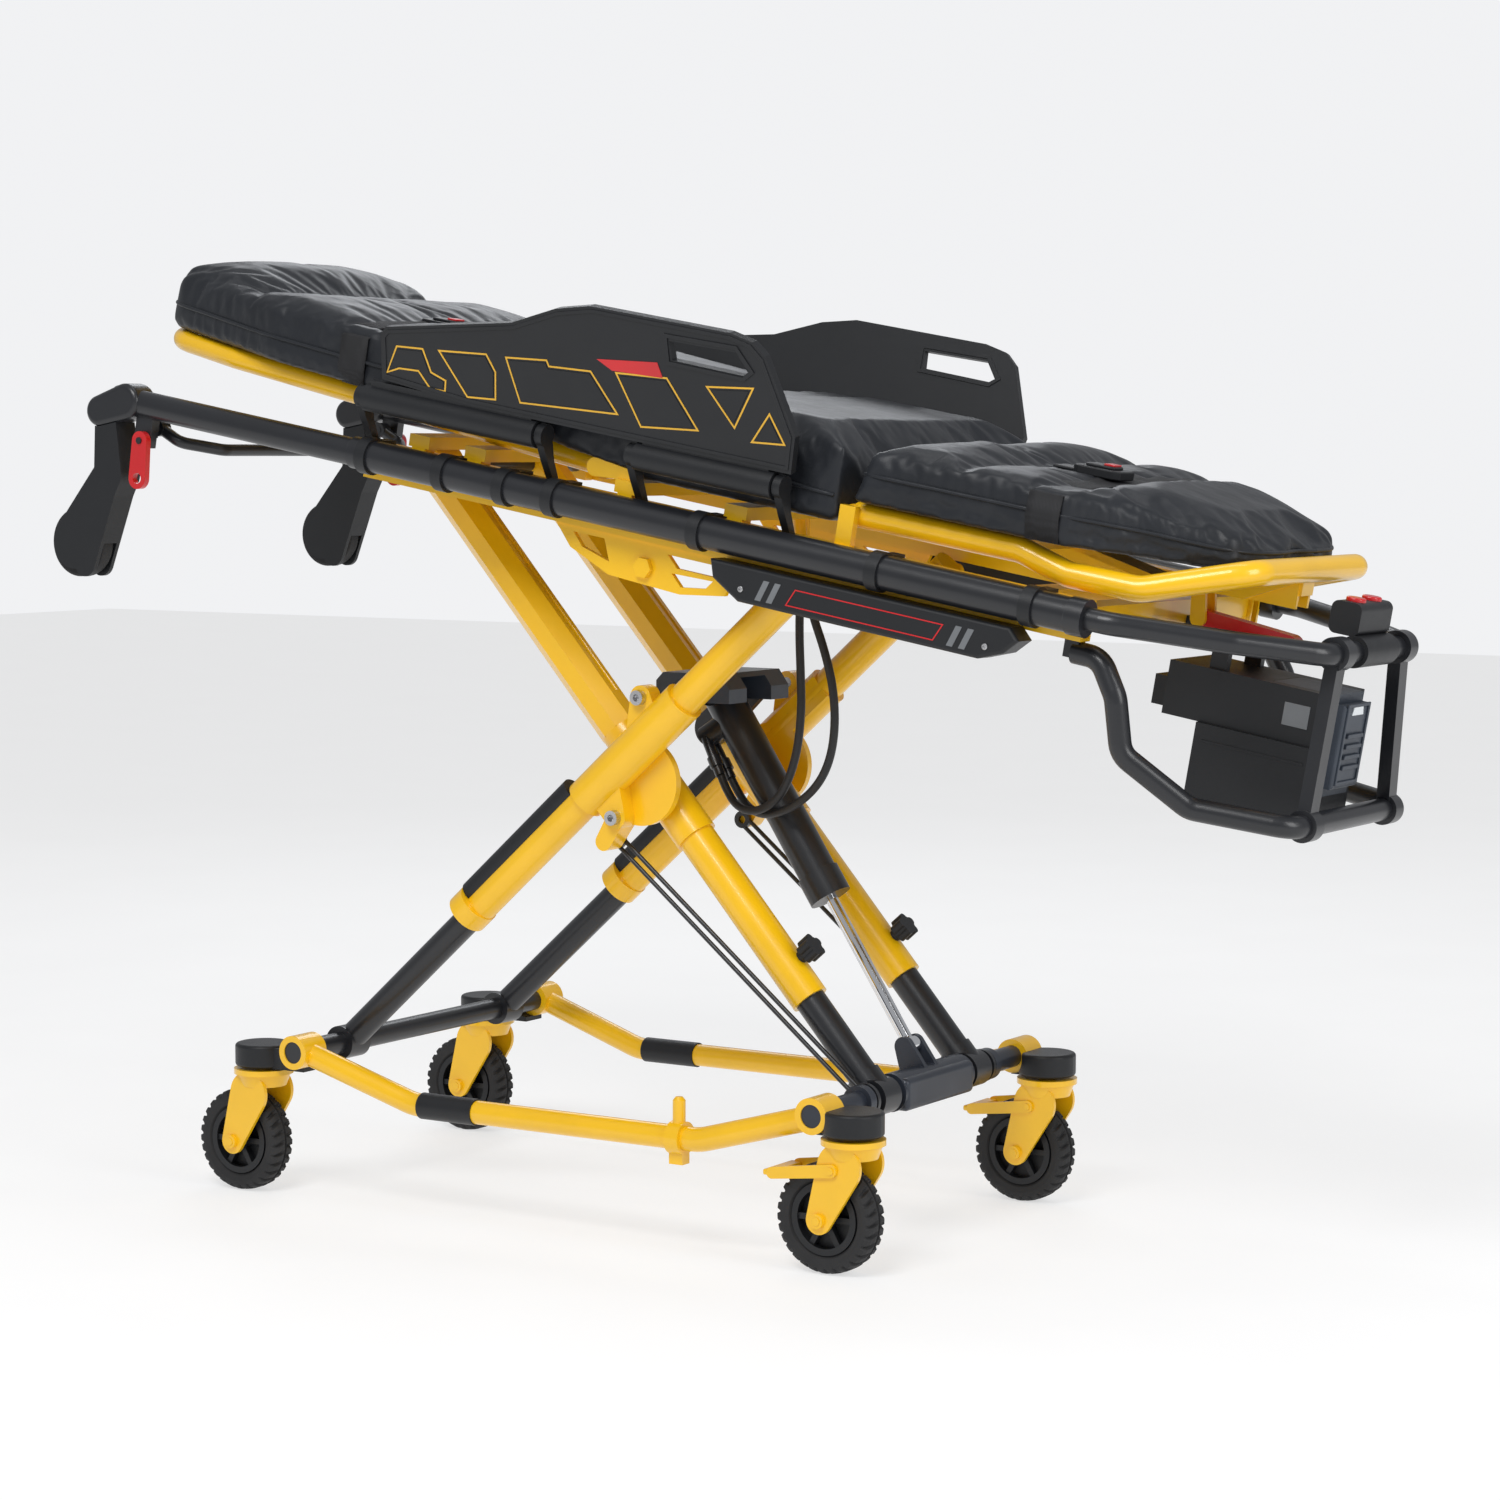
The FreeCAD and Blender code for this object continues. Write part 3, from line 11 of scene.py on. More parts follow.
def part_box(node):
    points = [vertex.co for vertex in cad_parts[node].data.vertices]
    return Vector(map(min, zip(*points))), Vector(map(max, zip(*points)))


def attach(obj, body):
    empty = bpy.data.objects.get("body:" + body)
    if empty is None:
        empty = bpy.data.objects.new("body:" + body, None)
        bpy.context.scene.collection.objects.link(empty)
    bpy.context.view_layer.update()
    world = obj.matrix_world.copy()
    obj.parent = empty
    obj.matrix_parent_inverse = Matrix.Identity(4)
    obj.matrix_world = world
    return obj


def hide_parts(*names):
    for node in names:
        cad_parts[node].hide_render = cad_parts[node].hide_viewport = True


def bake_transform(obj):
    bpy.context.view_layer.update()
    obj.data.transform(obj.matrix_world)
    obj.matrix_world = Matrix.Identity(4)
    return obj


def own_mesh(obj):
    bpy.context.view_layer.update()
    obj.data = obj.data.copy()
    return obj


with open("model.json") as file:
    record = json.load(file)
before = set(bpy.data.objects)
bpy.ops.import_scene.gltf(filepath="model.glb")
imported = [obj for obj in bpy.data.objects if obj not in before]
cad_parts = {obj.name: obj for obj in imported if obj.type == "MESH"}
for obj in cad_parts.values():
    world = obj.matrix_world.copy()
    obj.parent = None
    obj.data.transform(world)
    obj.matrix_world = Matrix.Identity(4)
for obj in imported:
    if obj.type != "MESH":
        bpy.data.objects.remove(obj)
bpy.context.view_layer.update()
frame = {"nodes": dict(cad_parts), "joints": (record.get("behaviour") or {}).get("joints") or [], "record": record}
NODES = frame["nodes"]

# ---------------------------------------------------------------- places, in millimetres as in the CAD
TILT = math.radians(10.0)
RAIL_HEIGHT = 1051.0
ORIGIN_SHIFT = -179.7
HIP_U, KNEE_U = 130.0, 540.0
SIDERAIL_Y, SIDERAIL_W, FLARE = 300.0, 82.0, math.radians(15.0)
SIDES = ((-1, "right"), (1, "left"))


def base_point(x, y, z):
    return Vector(((x + ORIGIN_SHIFT) / 1000, y / 1000, z / 1000))


def litter(u, y, w):
    """Point of the litter's own frame: u along it to the foot, w up from its side bars."""
    c, s = math.cos(TILT), math.sin(TILT)
    return base_point(u * c + w * s, y, RAIL_HEIGHT - u * s + w * c)


def siderail(side):
    """Maps a point drawn on the upright siderail to its flared place."""
    c, s = math.cos(FLARE), math.sin(FLARE)

    def place(x, out, z):
        return litter(x, side * (SIDERAIL_Y + z * s + out * c), SIDERAIL_W + z * c - out * s)
    return place


def to_litter(co):
    """Litter coordinates (u, y, w) in millimetres of an array of points in metres."""
    c, s = math.cos(TILT), math.sin(TILT)
    x = co[:, 0] * 1000 - ORIGIN_SHIFT
    z = co[:, 2] * 1000 - RAIL_HEIGHT
    return np.stack([x * c - z * s, co[:, 1] * 1000, x * s + z * c], axis=1)


# ---------------------------------------------------------------- materials
WEAR_RADIUS = 0.0014
GRAIN_DEPTH, CREASE_DEPTH, WEAVE_DEPTH = 0.0004, 0.006, 0.0006
WEAVE_PER_M = 160.0


def new_material(name):
    mat = bpy.data.materials.new(name)
    mat.use_nodes = True
    tree = mat.node_tree
    shader = tree.nodes["Principled BSDF"]
    return mat, tree, shader


def add_noise(tree, place, scale, detail=6.0, rough=0.6, stretch=(1, 1, 1)):
    """Noise value at each point, with its features stretched along the axes."""
    mapping = tree.nodes.new("ShaderNodeMapping")
    mapping.inputs["Scale"].default_value = stretch
    tree.links.new(place, mapping.inputs["Vector"])
    tex = tree.nodes.new("ShaderNodeTexNoise")
    tex.inputs["Scale"].default_value = scale
    tex.inputs["Detail"].default_value = detail
    tex.inputs["Roughness"].default_value = rough
    tree.links.new(mapping.outputs["Vector"], tex.inputs["Vector"])
    return tex.outputs["Fac"]


def add_ramp(tree, value, stops):
    """Colour that a value picks from a row of stops."""
    ramp = tree.nodes.new("ShaderNodeValToRGB")
    points = ramp.color_ramp.elements
    for i, (pos, colour) in enumerate(stops):
        element = points[i] if i < 2 else points.new(pos)
        element.position = pos
        element.color = (*colour, 1) if len(colour) == 3 else colour
    tree.links.new(value, ramp.inputs["Fac"])
    return ramp.outputs["Color"]


def grey(v):
    return (v, v, v)


def shade(colour, k):
    return tuple(min(1.0, c * k) for c in colour)


def surface(name, colour, rough, metal=0.0, coat=0.0, tone=0.12, grain=(300.0, 0.15), wear=None,
            sheen=0.0, streak=(1, 1, 1), wrinkle=0.0, specular=0.5):
    """A surface with tone variation, uneven gloss, fine grain and, where asked, worn edges."""
    mat, tree, shader = new_material(name)
    links = tree.links
    place = tree.nodes.new("ShaderNodeTexCoord").outputs["Object"]
    cloud = add_noise(tree, place, 7.0, stretch=streak)
    colour_out = add_ramp(tree, cloud, [(0.3, shade(colour, 1 - tone)), (0.7, shade(colour, 1 + tone))])
    patch = add_noise(tree, place, 24.0, detail=8.0, stretch=streak)
    rough_out = add_ramp(tree, patch, [(0.3, grey(rough * 0.93)), (0.72, grey(min(1, rough * 1.09)))])
    if wear:
        worn, amount = wear
        rounded = tree.nodes.new("ShaderNodeBevel")
        rounded.samples = 4
        rounded.inputs["Radius"].default_value = WEAR_RADIUS
        geometry = tree.nodes.new("ShaderNodeNewGeometry")
        facing = tree.nodes.new("ShaderNodeVectorMath")
        facing.operation = "DOT_PRODUCT"
        links.new(rounded.outputs["Normal"], facing.inputs[0])
        links.new(geometry.outputs["Normal"], facing.inputs[1])
        edge = add_ramp(tree, facing.outputs["Value"], [(0.86, grey(1)), (0.97, grey(0))])
        chip = add_ramp(tree, add_noise(tree, place, 60.0), [(0.5, grey(0)), (0.62, grey(amount))])
        both = tree.nodes.new("ShaderNodeMath")
        both.operation = "MULTIPLY"
        links.new(edge, both.inputs[0])
        links.new(chip, both.inputs[1])
        mix = tree.nodes.new("ShaderNodeMix")
        mix.data_type = "RGBA"
        mix.inputs["B"].default_value = (*worn, 1)
        links.new(both.outputs[0], mix.inputs["Factor"])
        links.new(colour_out, mix.inputs["A"])
        colour_out = mix.outputs["Result"]
    links.new(colour_out, shader.inputs["Base Color"])
    links.new(rough_out, shader.inputs["Roughness"])
    shader.inputs["Metallic"].default_value = metal
    shader.inputs["Coat Weight"].default_value = coat
    shader.inputs["Coat Roughness"].default_value = 0.12
    shader.inputs["Sheen Weight"].default_value = sheen
    shader.inputs["Specular IOR Level"].default_value = specular
    bump = tree.nodes.new("ShaderNodeBump")
    bump.inputs["Strength"].default_value = grain[1]
    bump.inputs["Distance"].default_value = GRAIN_DEPTH
    links.new(add_noise(tree, place, grain[0], detail=3.0), bump.inputs["Height"])
    last = bump
    if wrinkle:
        crease = tree.nodes.new("ShaderNodeBump")
        crease.inputs["Strength"].default_value = wrinkle
        crease.inputs["Distance"].default_value = CREASE_DEPTH
        folds = add_noise(tree, place, 6.5, detail=3.0, rough=0.5, stretch=(1.0, 1.35, 1.2))
        ridge = add_ramp(tree, folds, [(0.34, grey(0)), (0.52, grey(0.8)), (0.7, grey(0.25))])
        links.new(ridge, crease.inputs["Height"])
        links.new(bump.outputs["Normal"], crease.inputs["Normal"])
        last = crease
    links.new(last.outputs["Normal"], shader.inputs["Normal"])
    return mat


def webbing(name, colour):
    """Woven strap: fine ribs along and across the band, coloured darker in the weave's hollows as painted shade
    and lighter on its ribs as a painted highlight.
    """
    mat, tree, shader = new_material(name)
    place = tree.nodes.new("ShaderNodeTexCoord").outputs["Object"]
    heights = []
    for axis in ("X", "Y"):
        wave = tree.nodes.new("ShaderNodeTexWave")
        wave.bands_direction = axis
        wave.inputs["Scale"].default_value = WEAVE_PER_M
        wave.inputs["Distortion"].default_value = 0.6
        tree.links.new(place, wave.inputs["Vector"])
        heights.append(wave.outputs["Fac"])
    product = tree.nodes.new("ShaderNodeMath")
    product.operation = "MULTIPLY"
    for i, h in enumerate(heights):
        tree.links.new(h, product.inputs[i])
    bump = tree.nodes.new("ShaderNodeBump")
    bump.inputs["Strength"].default_value = 0.6
    bump.inputs["Distance"].default_value = WEAVE_DEPTH
    tree.links.new(product.outputs[0], bump.inputs["Height"])
    tree.links.new(bump.outputs["Normal"], shader.inputs["Normal"])
    # painted shade and highlight: the colour follows the weave's height, darker in its hollows and lighter on its
    # ribs
    tone = add_ramp(tree, product.outputs[0], [(0.0, shade(colour, 0.6)), (1.0, shade(colour, 1.5))])
    tree.links.new(tone, shader.inputs["Base Color"])
    shader.inputs["Roughness"].default_value = 0.75
    return mat


STEEL = (0.55, 0.55, 0.56)
MATS = {
    "yellow_paint": surface("yellow_paint", (0.93, 0.53, 0.003), 0.3, coat=0.5, tone=0.05,
                           grain=(900.0, 0.12), wear=((0.55, 0.3, 0.02), 0.5)),
    "black_metal": surface("black_metal", (0.012, 0.013, 0.016), 0.34, coat=0.15, tone=0.1,
                          grain=(700.0, 0.2), wear=((0.1, 0.1, 0.105), 0.5)),
    "black_plastic": surface("black_plastic", (0.011, 0.012, 0.014), 0.44, tone=0.1,
                            grain=(1300.0, 0.4), wear=((0.045, 0.045, 0.05), 0.5), specular=0.4),
    "grey_plastic": surface("grey_plastic", (0.035, 0.045, 0.062), 0.42, tone=0.2,
                           grain=(1200.0, 0.4), wear=((0.12, 0.13, 0.15), 0.5)),
    "cast_metal": surface("cast_metal", (0.03, 0.036, 0.05), 0.38, metal=0.25, coat=0.1, tone=0.25,
                         grain=(420.0, 0.5), wear=((0.2, 0.21, 0.23), 0.7)),
    "bright_steel": surface("bright_steel", STEEL, 0.28, metal=1.0, tone=0.1, grain=(800.0, 0.15),
                           streak=(1, 1, 8)),
    "chrome": surface("chrome", (0.76, 0.77, 0.79), 0.1, metal=1.0, tone=0.04, grain=(900.0, 0.04)),
    "red_plastic": surface("red_plastic", (0.58, 0.008, 0.012), 0.3, coat=0.3, tone=0.12,
                          grain=(900.0, 0.15)),
    "vinyl": surface("vinyl", (0.014, 0.016, 0.02), 0.42, tone=0.15, grain=(620.0, 0.25),
                    sheen=0.02, wrinkle=0.4, specular=0.34),
    "hose_rubber": surface("hose_rubber", (0.012, 0.012, 0.013), 0.5, tone=0.2, grain=(900.0, 0.3)),
    "tyre_rubber": surface("tyre_rubber", (0.016, 0.016, 0.017), 0.72, tone=0.3, grain=(500.0, 0.5)),
}
MATS["gold_line"] = surface("gold_line", (0.75, 0.42, 0.03), 0.4, tone=0.1)
MATS["pale_lens"] = surface("pale_lens", (0.7, 0.74, 0.76), 0.15, coat=0.4, tone=0.05)
MATS["stripe_grey"] = surface("stripe_grey", (0.16, 0.17, 0.18), 0.4, tone=0.15)
MATS["webbing"] = webbing("webbing", (0.014, 0.014, 0.016))

SLOT_OF = {p["node"]: p["material_slot"] for p in frame["record"]["subparts"]}
for node_name, node in NODES.items():
    node.data.materials.clear()
    node.data.materials.append(MATS[SLOT_OF[node_name]])


# ---------------------------------------------------------------- mesh helpers
def add_piece(name, verts, faces, material, body, slot_name, smooth=True, bevel=0.0):
    mesh = bpy.data.meshes.new(name)
    mesh.from_pydata([tuple(v) for v in verts], [], faces)
    bm = bmesh.new()
    bm.from_mesh(mesh)
    bmesh.ops.recalc_face_normals(bm, faces=bm.faces)
    bm.to_mesh(mesh)
    bm.free()
    mesh.materials.append(MATS[material])
    obj = bpy.data.objects.new(name, mesh)
    bpy.context.scene.collection.objects.link(obj)
    for polygon in mesh.polygons:
        polygon.use_smooth = smooth
    if bevel:
        mod = obj.modifiers.new("edge", "BEVEL")
        mod.width = bevel
        mod.segments = 3
        mod.limit_method = "ANGLE"
        mod.harden_normals = True
    if body:
        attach(obj, body)
    return obj


def prism(outline, place, near, far):
    """Vertices and faces of a flat outline given thickness; place maps (x, depth, z) to a point."""
    n = len(outline)
    verts = [place(x, near, z) for x, z in outline] + [place(x, far, z) for x, z in outline]
    faces = [list(range(n)), list(range(2 * n - 1, n - 1, -1))]
    faces += [[i, (i + 1) % n, n + (i + 1) % n, n + i] for i in range(n)]
    return verts, faces


def merge(parts):
    """One list of vertices and one of faces from several parts."""
    verts, faces = [], []
    for v, f in parts:
        offset = len(verts)
        verts += v
        faces += [[i + offset for i in face] for face in f]
    return verts, faces


def inset(outline, amount):
    """Outline moved inwards by an amount, corner by corner."""
    area = sum(a[0] * b[1] - b[0] * a[1] for a, b in zip(outline, outline[1:] + outline[:1]))
    sign = 1 if area > 0 else -1
    result = []
    for i, here in enumerate(outline):
        before, after = Vector(outline[i - 1]), Vector(outline[(i + 1) % len(outline)])
        p = Vector(here)
        d1, d2 = (p - before).normalized(), (after - p).normalized()
        n1, n2 = Vector((-d1.y, d1.x)) * sign, Vector((-d2.y, d2.x)) * sign
        middle = (n1 + n2)
        middle = middle / max(0.35, middle.length_squared / 2)
        result.append(tuple(p + middle * amount))
    return result


def outline_band(outline, width, place, near, far):
    """A thin raised line that follows a closed outline."""
    inner = inset(outline, width)
    n = len(outline)
    verts = []
    for depth in (near, far):
        verts += [place(x, depth, z) for x, z in outline]
        verts += [place(x, depth, z) for x, z in inner]
    faces = []
    for i in range(n):
        j = (i + 1) % n
        faces.append([2 * n + i, 2 * n + j, 3 * n + j, 3 * n + i])
        faces.append([i, j, 2 * n + j, 2 * n + i])
        faces.append([n + i, n + j, 3 * n + j, 3 * n + i])
        faces.append([i, j, n + j, n + i])
    return verts, faces


def tube_mesh(points, radius, sides=8):
    """Round cord through a list of points, closed at both ends."""
    verts, faces = [], []
    n = len(points)
    up = Vector((0, 0, 1))
    for i, p in enumerate(points):
        ahead = points[i + 1] if i < n - 1 else p
        behind = points[i - 1] if i > 0 else p
        along = (ahead - behind).normalized()
        side = along.cross(up)
        side = side.normalized() if side.length > 1e-4 else Vector((0, 1, 0))
        over = side.cross(along)
        for k in range(sides):
            a = 2 * math.pi * k / sides
            verts.append(p + (side * math.cos(a) + over * math.sin(a)) * radius)
    for i in range(n - 1):
        j = i + 1
        for k in range(sides):
            m = (k + 1) % sides
            faces.append([i * sides + k, i * sides + m, j * sides + m, j * sides + k])
    faces += [list(range(sides)), list(range((n - 1) * sides, n * sides))[::-1]]
    return verts, faces


# ---------------------------------------------------------------- mattress
VOXEL = 0.0062
SIM_FRAMES = 20
CLOTH_MASS, STRETCH, SHEAR, BENDING, PRESSURE = 0.35, 12, 4, 1.6, 4
MAX_SWELL = 0.024
GROW_BACK, GROW_LEG = 0.025, 0.03
RESTING_W, RESTING_FADE, LEAST_DROP = 50.0, 40.0, 0.05
SEAM_REACH = 0.06
SEAM_SMOOTHING = 3
PIPING_R = 0.003
SEAM_WIDTH = 7.0
SIDE_SEAM_W, SIDE_SEAM_FALL = 104, 0.055
BOLSTER_U, CHEST_STRAP_U = -538, -304


def node_mesh(bm, node_name):
    bm.from_mesh(NODES[node_name].data)


def bridge(bm, outline, half):
    """Adds a solid across the pad between two of its parts."""
    verts, faces = prism(outline, litter, -half, half)
    added = [bm.verts.new(v) for v in verts]
    for face in faces:
        bm.faces.new([added[i] for i in face])


def remeshed(name, bm):
    """One closed skin over the parts in bm, drawn in a little so that it can swell."""
    bmesh.ops.remove_doubles(bm, verts=bm.verts, dist=1e-5)
    bmesh.ops.recalc_face_normals(bm, faces=bm.faces)
    mesh = bpy.data.meshes.new(name)
    bm.to_mesh(mesh)
    bm.free()
    obj = bpy.data.objects.new(name, mesh)
    bpy.context.scene.collection.objects.link(obj)
    mod = obj.modifiers.new("skin", "REMESH")
    mod.mode = "VOXEL"
    mod.voxel_size = VOXEL
    mod.use_smooth_shade = True
    smooth = obj.modifiers.new("soft", "SMOOTH")
    smooth.iterations = 6
    smooth.factor = 0.5
    return apply_modifiers(obj)


def apply_modifiers(obj):
    graph = bpy.context.evaluated_depsgraph_get()
    mesh = bpy.data.meshes.new_from_object(obj.evaluated_get(graph))
    obj.modifiers.clear()
    obj.data = mesh
    return obj


def coords(obj):
    """Vertex positions of a piece, in metres, as an array."""
    co = np.zeros(len(obj.data.vertices) * 3, np.float32)
    obj.data.vertices.foreach_get("co", co)
    return co.reshape(-1, 3).astype(float)


def set_coords(obj, co):
    obj.data.vertices.foreach_set("co", co.astype(np.float32).ravel())
    obj.data.update()


def swell(obj, seams, grow):
    """Inflates the cover by cloth simulation; seams is a function that gives how firmly a point is held."""
    start = coords(obj)
    local = to_litter(start)
    held = seams(local)
    group = obj.vertex_groups.new(name="seam")
    for i in np.nonzero(held > 0.02)[0]:
        group.add([int(i)], float(held[i]), "REPLACE")
    mod = obj.modifiers.new("cloth", "CLOTH")
    cloth = mod.settings
    cloth.quality = 5
    cloth.mass = CLOTH_MASS
    cloth.tension_stiffness = STRETCH
    cloth.compression_stiffness = STRETCH
    cloth.shear_stiffness = SHEAR
    cloth.bending_stiffness = BENDING
    cloth.use_pressure = True
    cloth.uniform_pressure_force = PRESSURE
    cloth.effector_weights.gravity = 0
    cloth.shrink_min = -grow
    cloth.vertex_group_mass = "seam"
    mod.collision_settings.use_collision = False
    mod.point_cache.frame_start = 1
    mod.point_cache.frame_end = SIM_FRAMES
    for frame_number in range(1, SIM_FRAMES + 1):
        bpy.context.scene.frame_set(frame_number)
    apply_modifiers(obj)
    bpy.context.scene.frame_set(1)
    obj.vertex_groups.clear()
    moved = coords(obj) - start
    length = np.linalg.norm(moved, axis=1, keepdims=True)
    moved *= np.minimum(1.0, MAX_SWELL / np.maximum(length, 1e-9))
    end = start + moved
    free = np.clip((local[:, 2:3] - RESTING_W) / RESTING_FADE, LEAST_DROP, 1.0)
    c, s = math.cos(TILT), math.sin(TILT)
    up = np.array([s, 0, c])
    drop = np.minimum(0, moved @ up)[:, None]
    end -= drop * (1 - free) * up
    set_coords(obj, end)


def subdivided(obj):
    """The piece with its faces split and rounded once."""
    mod = obj.modifiers.new("round", "SUBSURF")
    mod.levels = mod.render_levels = 1
    return apply_modifiers(obj)


def paint_pad(obj):
    obj.data.materials.clear()
    obj.data.materials.append(MATS["vinyl"])
    for polygon in obj.data.polygons:
        polygon.use_smooth = True


def band(values, centre, width):
    """One at the centre, falling smoothly to nothing over a few widths."""
    return np.exp(-((values - centre) / width) ** 2)


def side_seam_height(u):
    """Height of the back pad's side seam, which rises towards the head."""
    return SIDE_SEAM_W - SIDE_SEAM_FALL * (u - HIP_U)


def back_seams(p):
    """Held along the side seam, across the hip fold, at the bolster and where the straps pass."""
    u, y, w = p[:, 0], np.abs(p[:, 1]), p[:, 2]
    side = band(w, side_seam_height(u), SEAM_WIDTH) * (y > 232)
    fold = band(u, HIP_U + 8, 10.0) * 0.9
    neck = band(u, BOLSTER_U, SEAM_WIDTH) * (w > 120) * 0.8
    strap = band(u, CHEST_STRAP_U, 16.0) * (w > 100) * 0.55
    under = (w < 72 + SIDE_SEAM_FALL * (HIP_U - u)) * 0.8
    return np.clip(np.maximum.reduce([side, fold, neck, strap, under]), 0, 1)


def leg_seams(p):
    """Held along the side seam, under the strap, across the middle and underneath."""
    u, y, w = p[:, 0], np.abs(p[:, 1]), p[:, 2]
    half = np.interp(u, [KNEE_U, 862, 948, 1000, 1050, 1068], [272, 272, 205, 184, 156, 110])
    side = band(w, 118.0, SEAM_WIDTH) * (y > half - 34)
    strap = band(u, 838, 18.0) * (w > 96) * 0.7
    under = (w < 88) * 0.8
    middle = band(u, 700, 8.0) * (w > 120) * 0.35
    return np.clip(np.maximum.reduce([side, strap, under, middle]), 0, 1)


def seam_cord(obj, stations, height_of, middle):
    """Points of the piping along a pad's side, found by looking in from outside at the seam's height."""
    tree = BVHTree.FromPolygons([v.co for v in obj.data.vertices],
                                [tuple(p.vertices) for p in obj.data.polygons])
    points = []
    for u, y in stations:
        w = height_of(u)
        outside = litter(u, y, w)
        inward = (litter(min(max(u, middle[0]), middle[1]), 0, w) - outside).normalized()
        hit = tree.ray_cast(outside - inward * SEAM_REACH, inward)[0]
        if hit is None:
            hit = tree.find_nearest(outside)[0]
        points.append(hit - inward * PIPING_R * 0.4)
    for _ in range(SEAM_SMOOTHING):
        inner = [(a + b * 2 + c) / 4 for a, b, c in zip(points, points[1:], points[2:])]
        points = [points[0]] + inner + [points[-1]]
    return points


def path_between(corners, step=14.0):
    """Evenly spaced stations along straight runs between plan corners."""
    stations = []
    for (u0, y0), (u1, y1) in zip(corners, corners[1:]):
        n = max(1, int(math.hypot(u1 - u0, y1 - y0) / step))
        stations += [(u0 + (u1 - u0) * i / n, y0 + (y1 - y0) * i / n) for i in range(n)]
    stations.append(corners[-1])
    return stations


def join_into(obj, verts, faces):
    """Adds plain geometry to a pad's mesh, so that it bends with the pad."""
    bm = bmesh.new()
    bm.from_mesh(obj.data)
    added = [bm.verts.new(v) for v in verts]
    for face in faces:
        f = bm.faces.new([added[i] for i in face])
        f.smooth = True
    bmesh.ops.recalc_face_normals(bm, faces=bm.faces)
    bm.to_mesh(obj.data)
    bm.free()


def build_back_pad():
    """One cover over the back and the seat, held along a line across the hip."""
    bm = bmesh.new()
    node_mesh(bm, "mattress_back")
    node_mesh(bm, "mattress_seat")
    bridge(bm, [(70, 68), (222, 52), (285, 146), (150, 150), (10, 150)], 268)
    pad = remeshed("mattress_back_and_seat", bm)
    swell(pad, back_seams, GROW_BACK)
    edge = [(520, -300), (-470, -300), (-712, -240), (-750, -180)]
    edge += [(u, -y) for u, y in reversed(edge)]
    points = seam_cord(pad, path_between(edge), side_seam_height, (-500, 520))
    pad = subdivided(pad)
    join_into(pad, *tube_mesh(points, PIPING_R))
    paint_pad(pad)
    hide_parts("mattress_back", "mattress_seat")
    return pad


def thin_foot(pad):
    """The leg pad grows thinner towards the foot bar."""
    co = coords(pad)
    local = to_litter(co)
    t = np.clip((local[:, 0] - 860) / 210, 0, 1)
    t = t * t * (3 - 2 * t)
    drop = np.maximum(0, local[:, 2] - 84) * 0.34 * t / 1000
    set_coords(pad, co - drop[:, None] * np.array([math.sin(TILT), 0, math.cos(TILT)]))


def build_leg_pad():
    """Cover of the leg section's pad."""
    bm = bmesh.new()
    node_mesh(bm, "mattress_leg")
    pad = remeshed("mattress_leg_cover", bm)
    swell(pad, leg_seams, GROW_LEG)
    thin_foot(pad)
    edge = [(560, -300), (862, -300), (960, -232), (1010, -206), (1064, -172), (1092, -110)]
    edge += [(u, -y) for u, y in reversed(edge)]

    def seam_height(u):
        return float(np.interp(u, [860, 1070], [118, 106]))
    points = seam_cord(pad, path_between(edge), seam_height, (560, 900))
    pad = subdivided(pad)
    join_into(pad, *tube_mesh(points, PIPING_R))
    paint_pad(pad)
    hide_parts("mattress_leg")
    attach(pad, "leg_section")
    return pad


back_pad = build_back_pad()
leg_pad = build_leg_pad()


# ---------------------------------------------------------------- straps and buckles
STRAP_HALF, STRAP_THICK = 24, 0.0022
STRAP_STEPS, STRAP_POINTS = 46, 5
STRAP_CLEAR, STRAP_TAUTNESS, STRAP_LIFT = 0.003, 0.4, 0.2
STRAP_SEARCH = 0.4
STRAP_DEPTH = 0.27
BUCKLE_OUTLINE = [(-34, -22), (-26, -28), (26, -28), (36, -20), (36, 20), (26, 28), (-26, 28), (-34, 22)]
BUCKLE_TOP = 0.62
THIGH_STRAP_U, THIGH_STRAP_FOOT_U, THIGH_BUCKLE_U = 832, 850, 801
BUCKLE_Y = -60
ABOVE_PAD, PAD_TOP = 420, 165.0


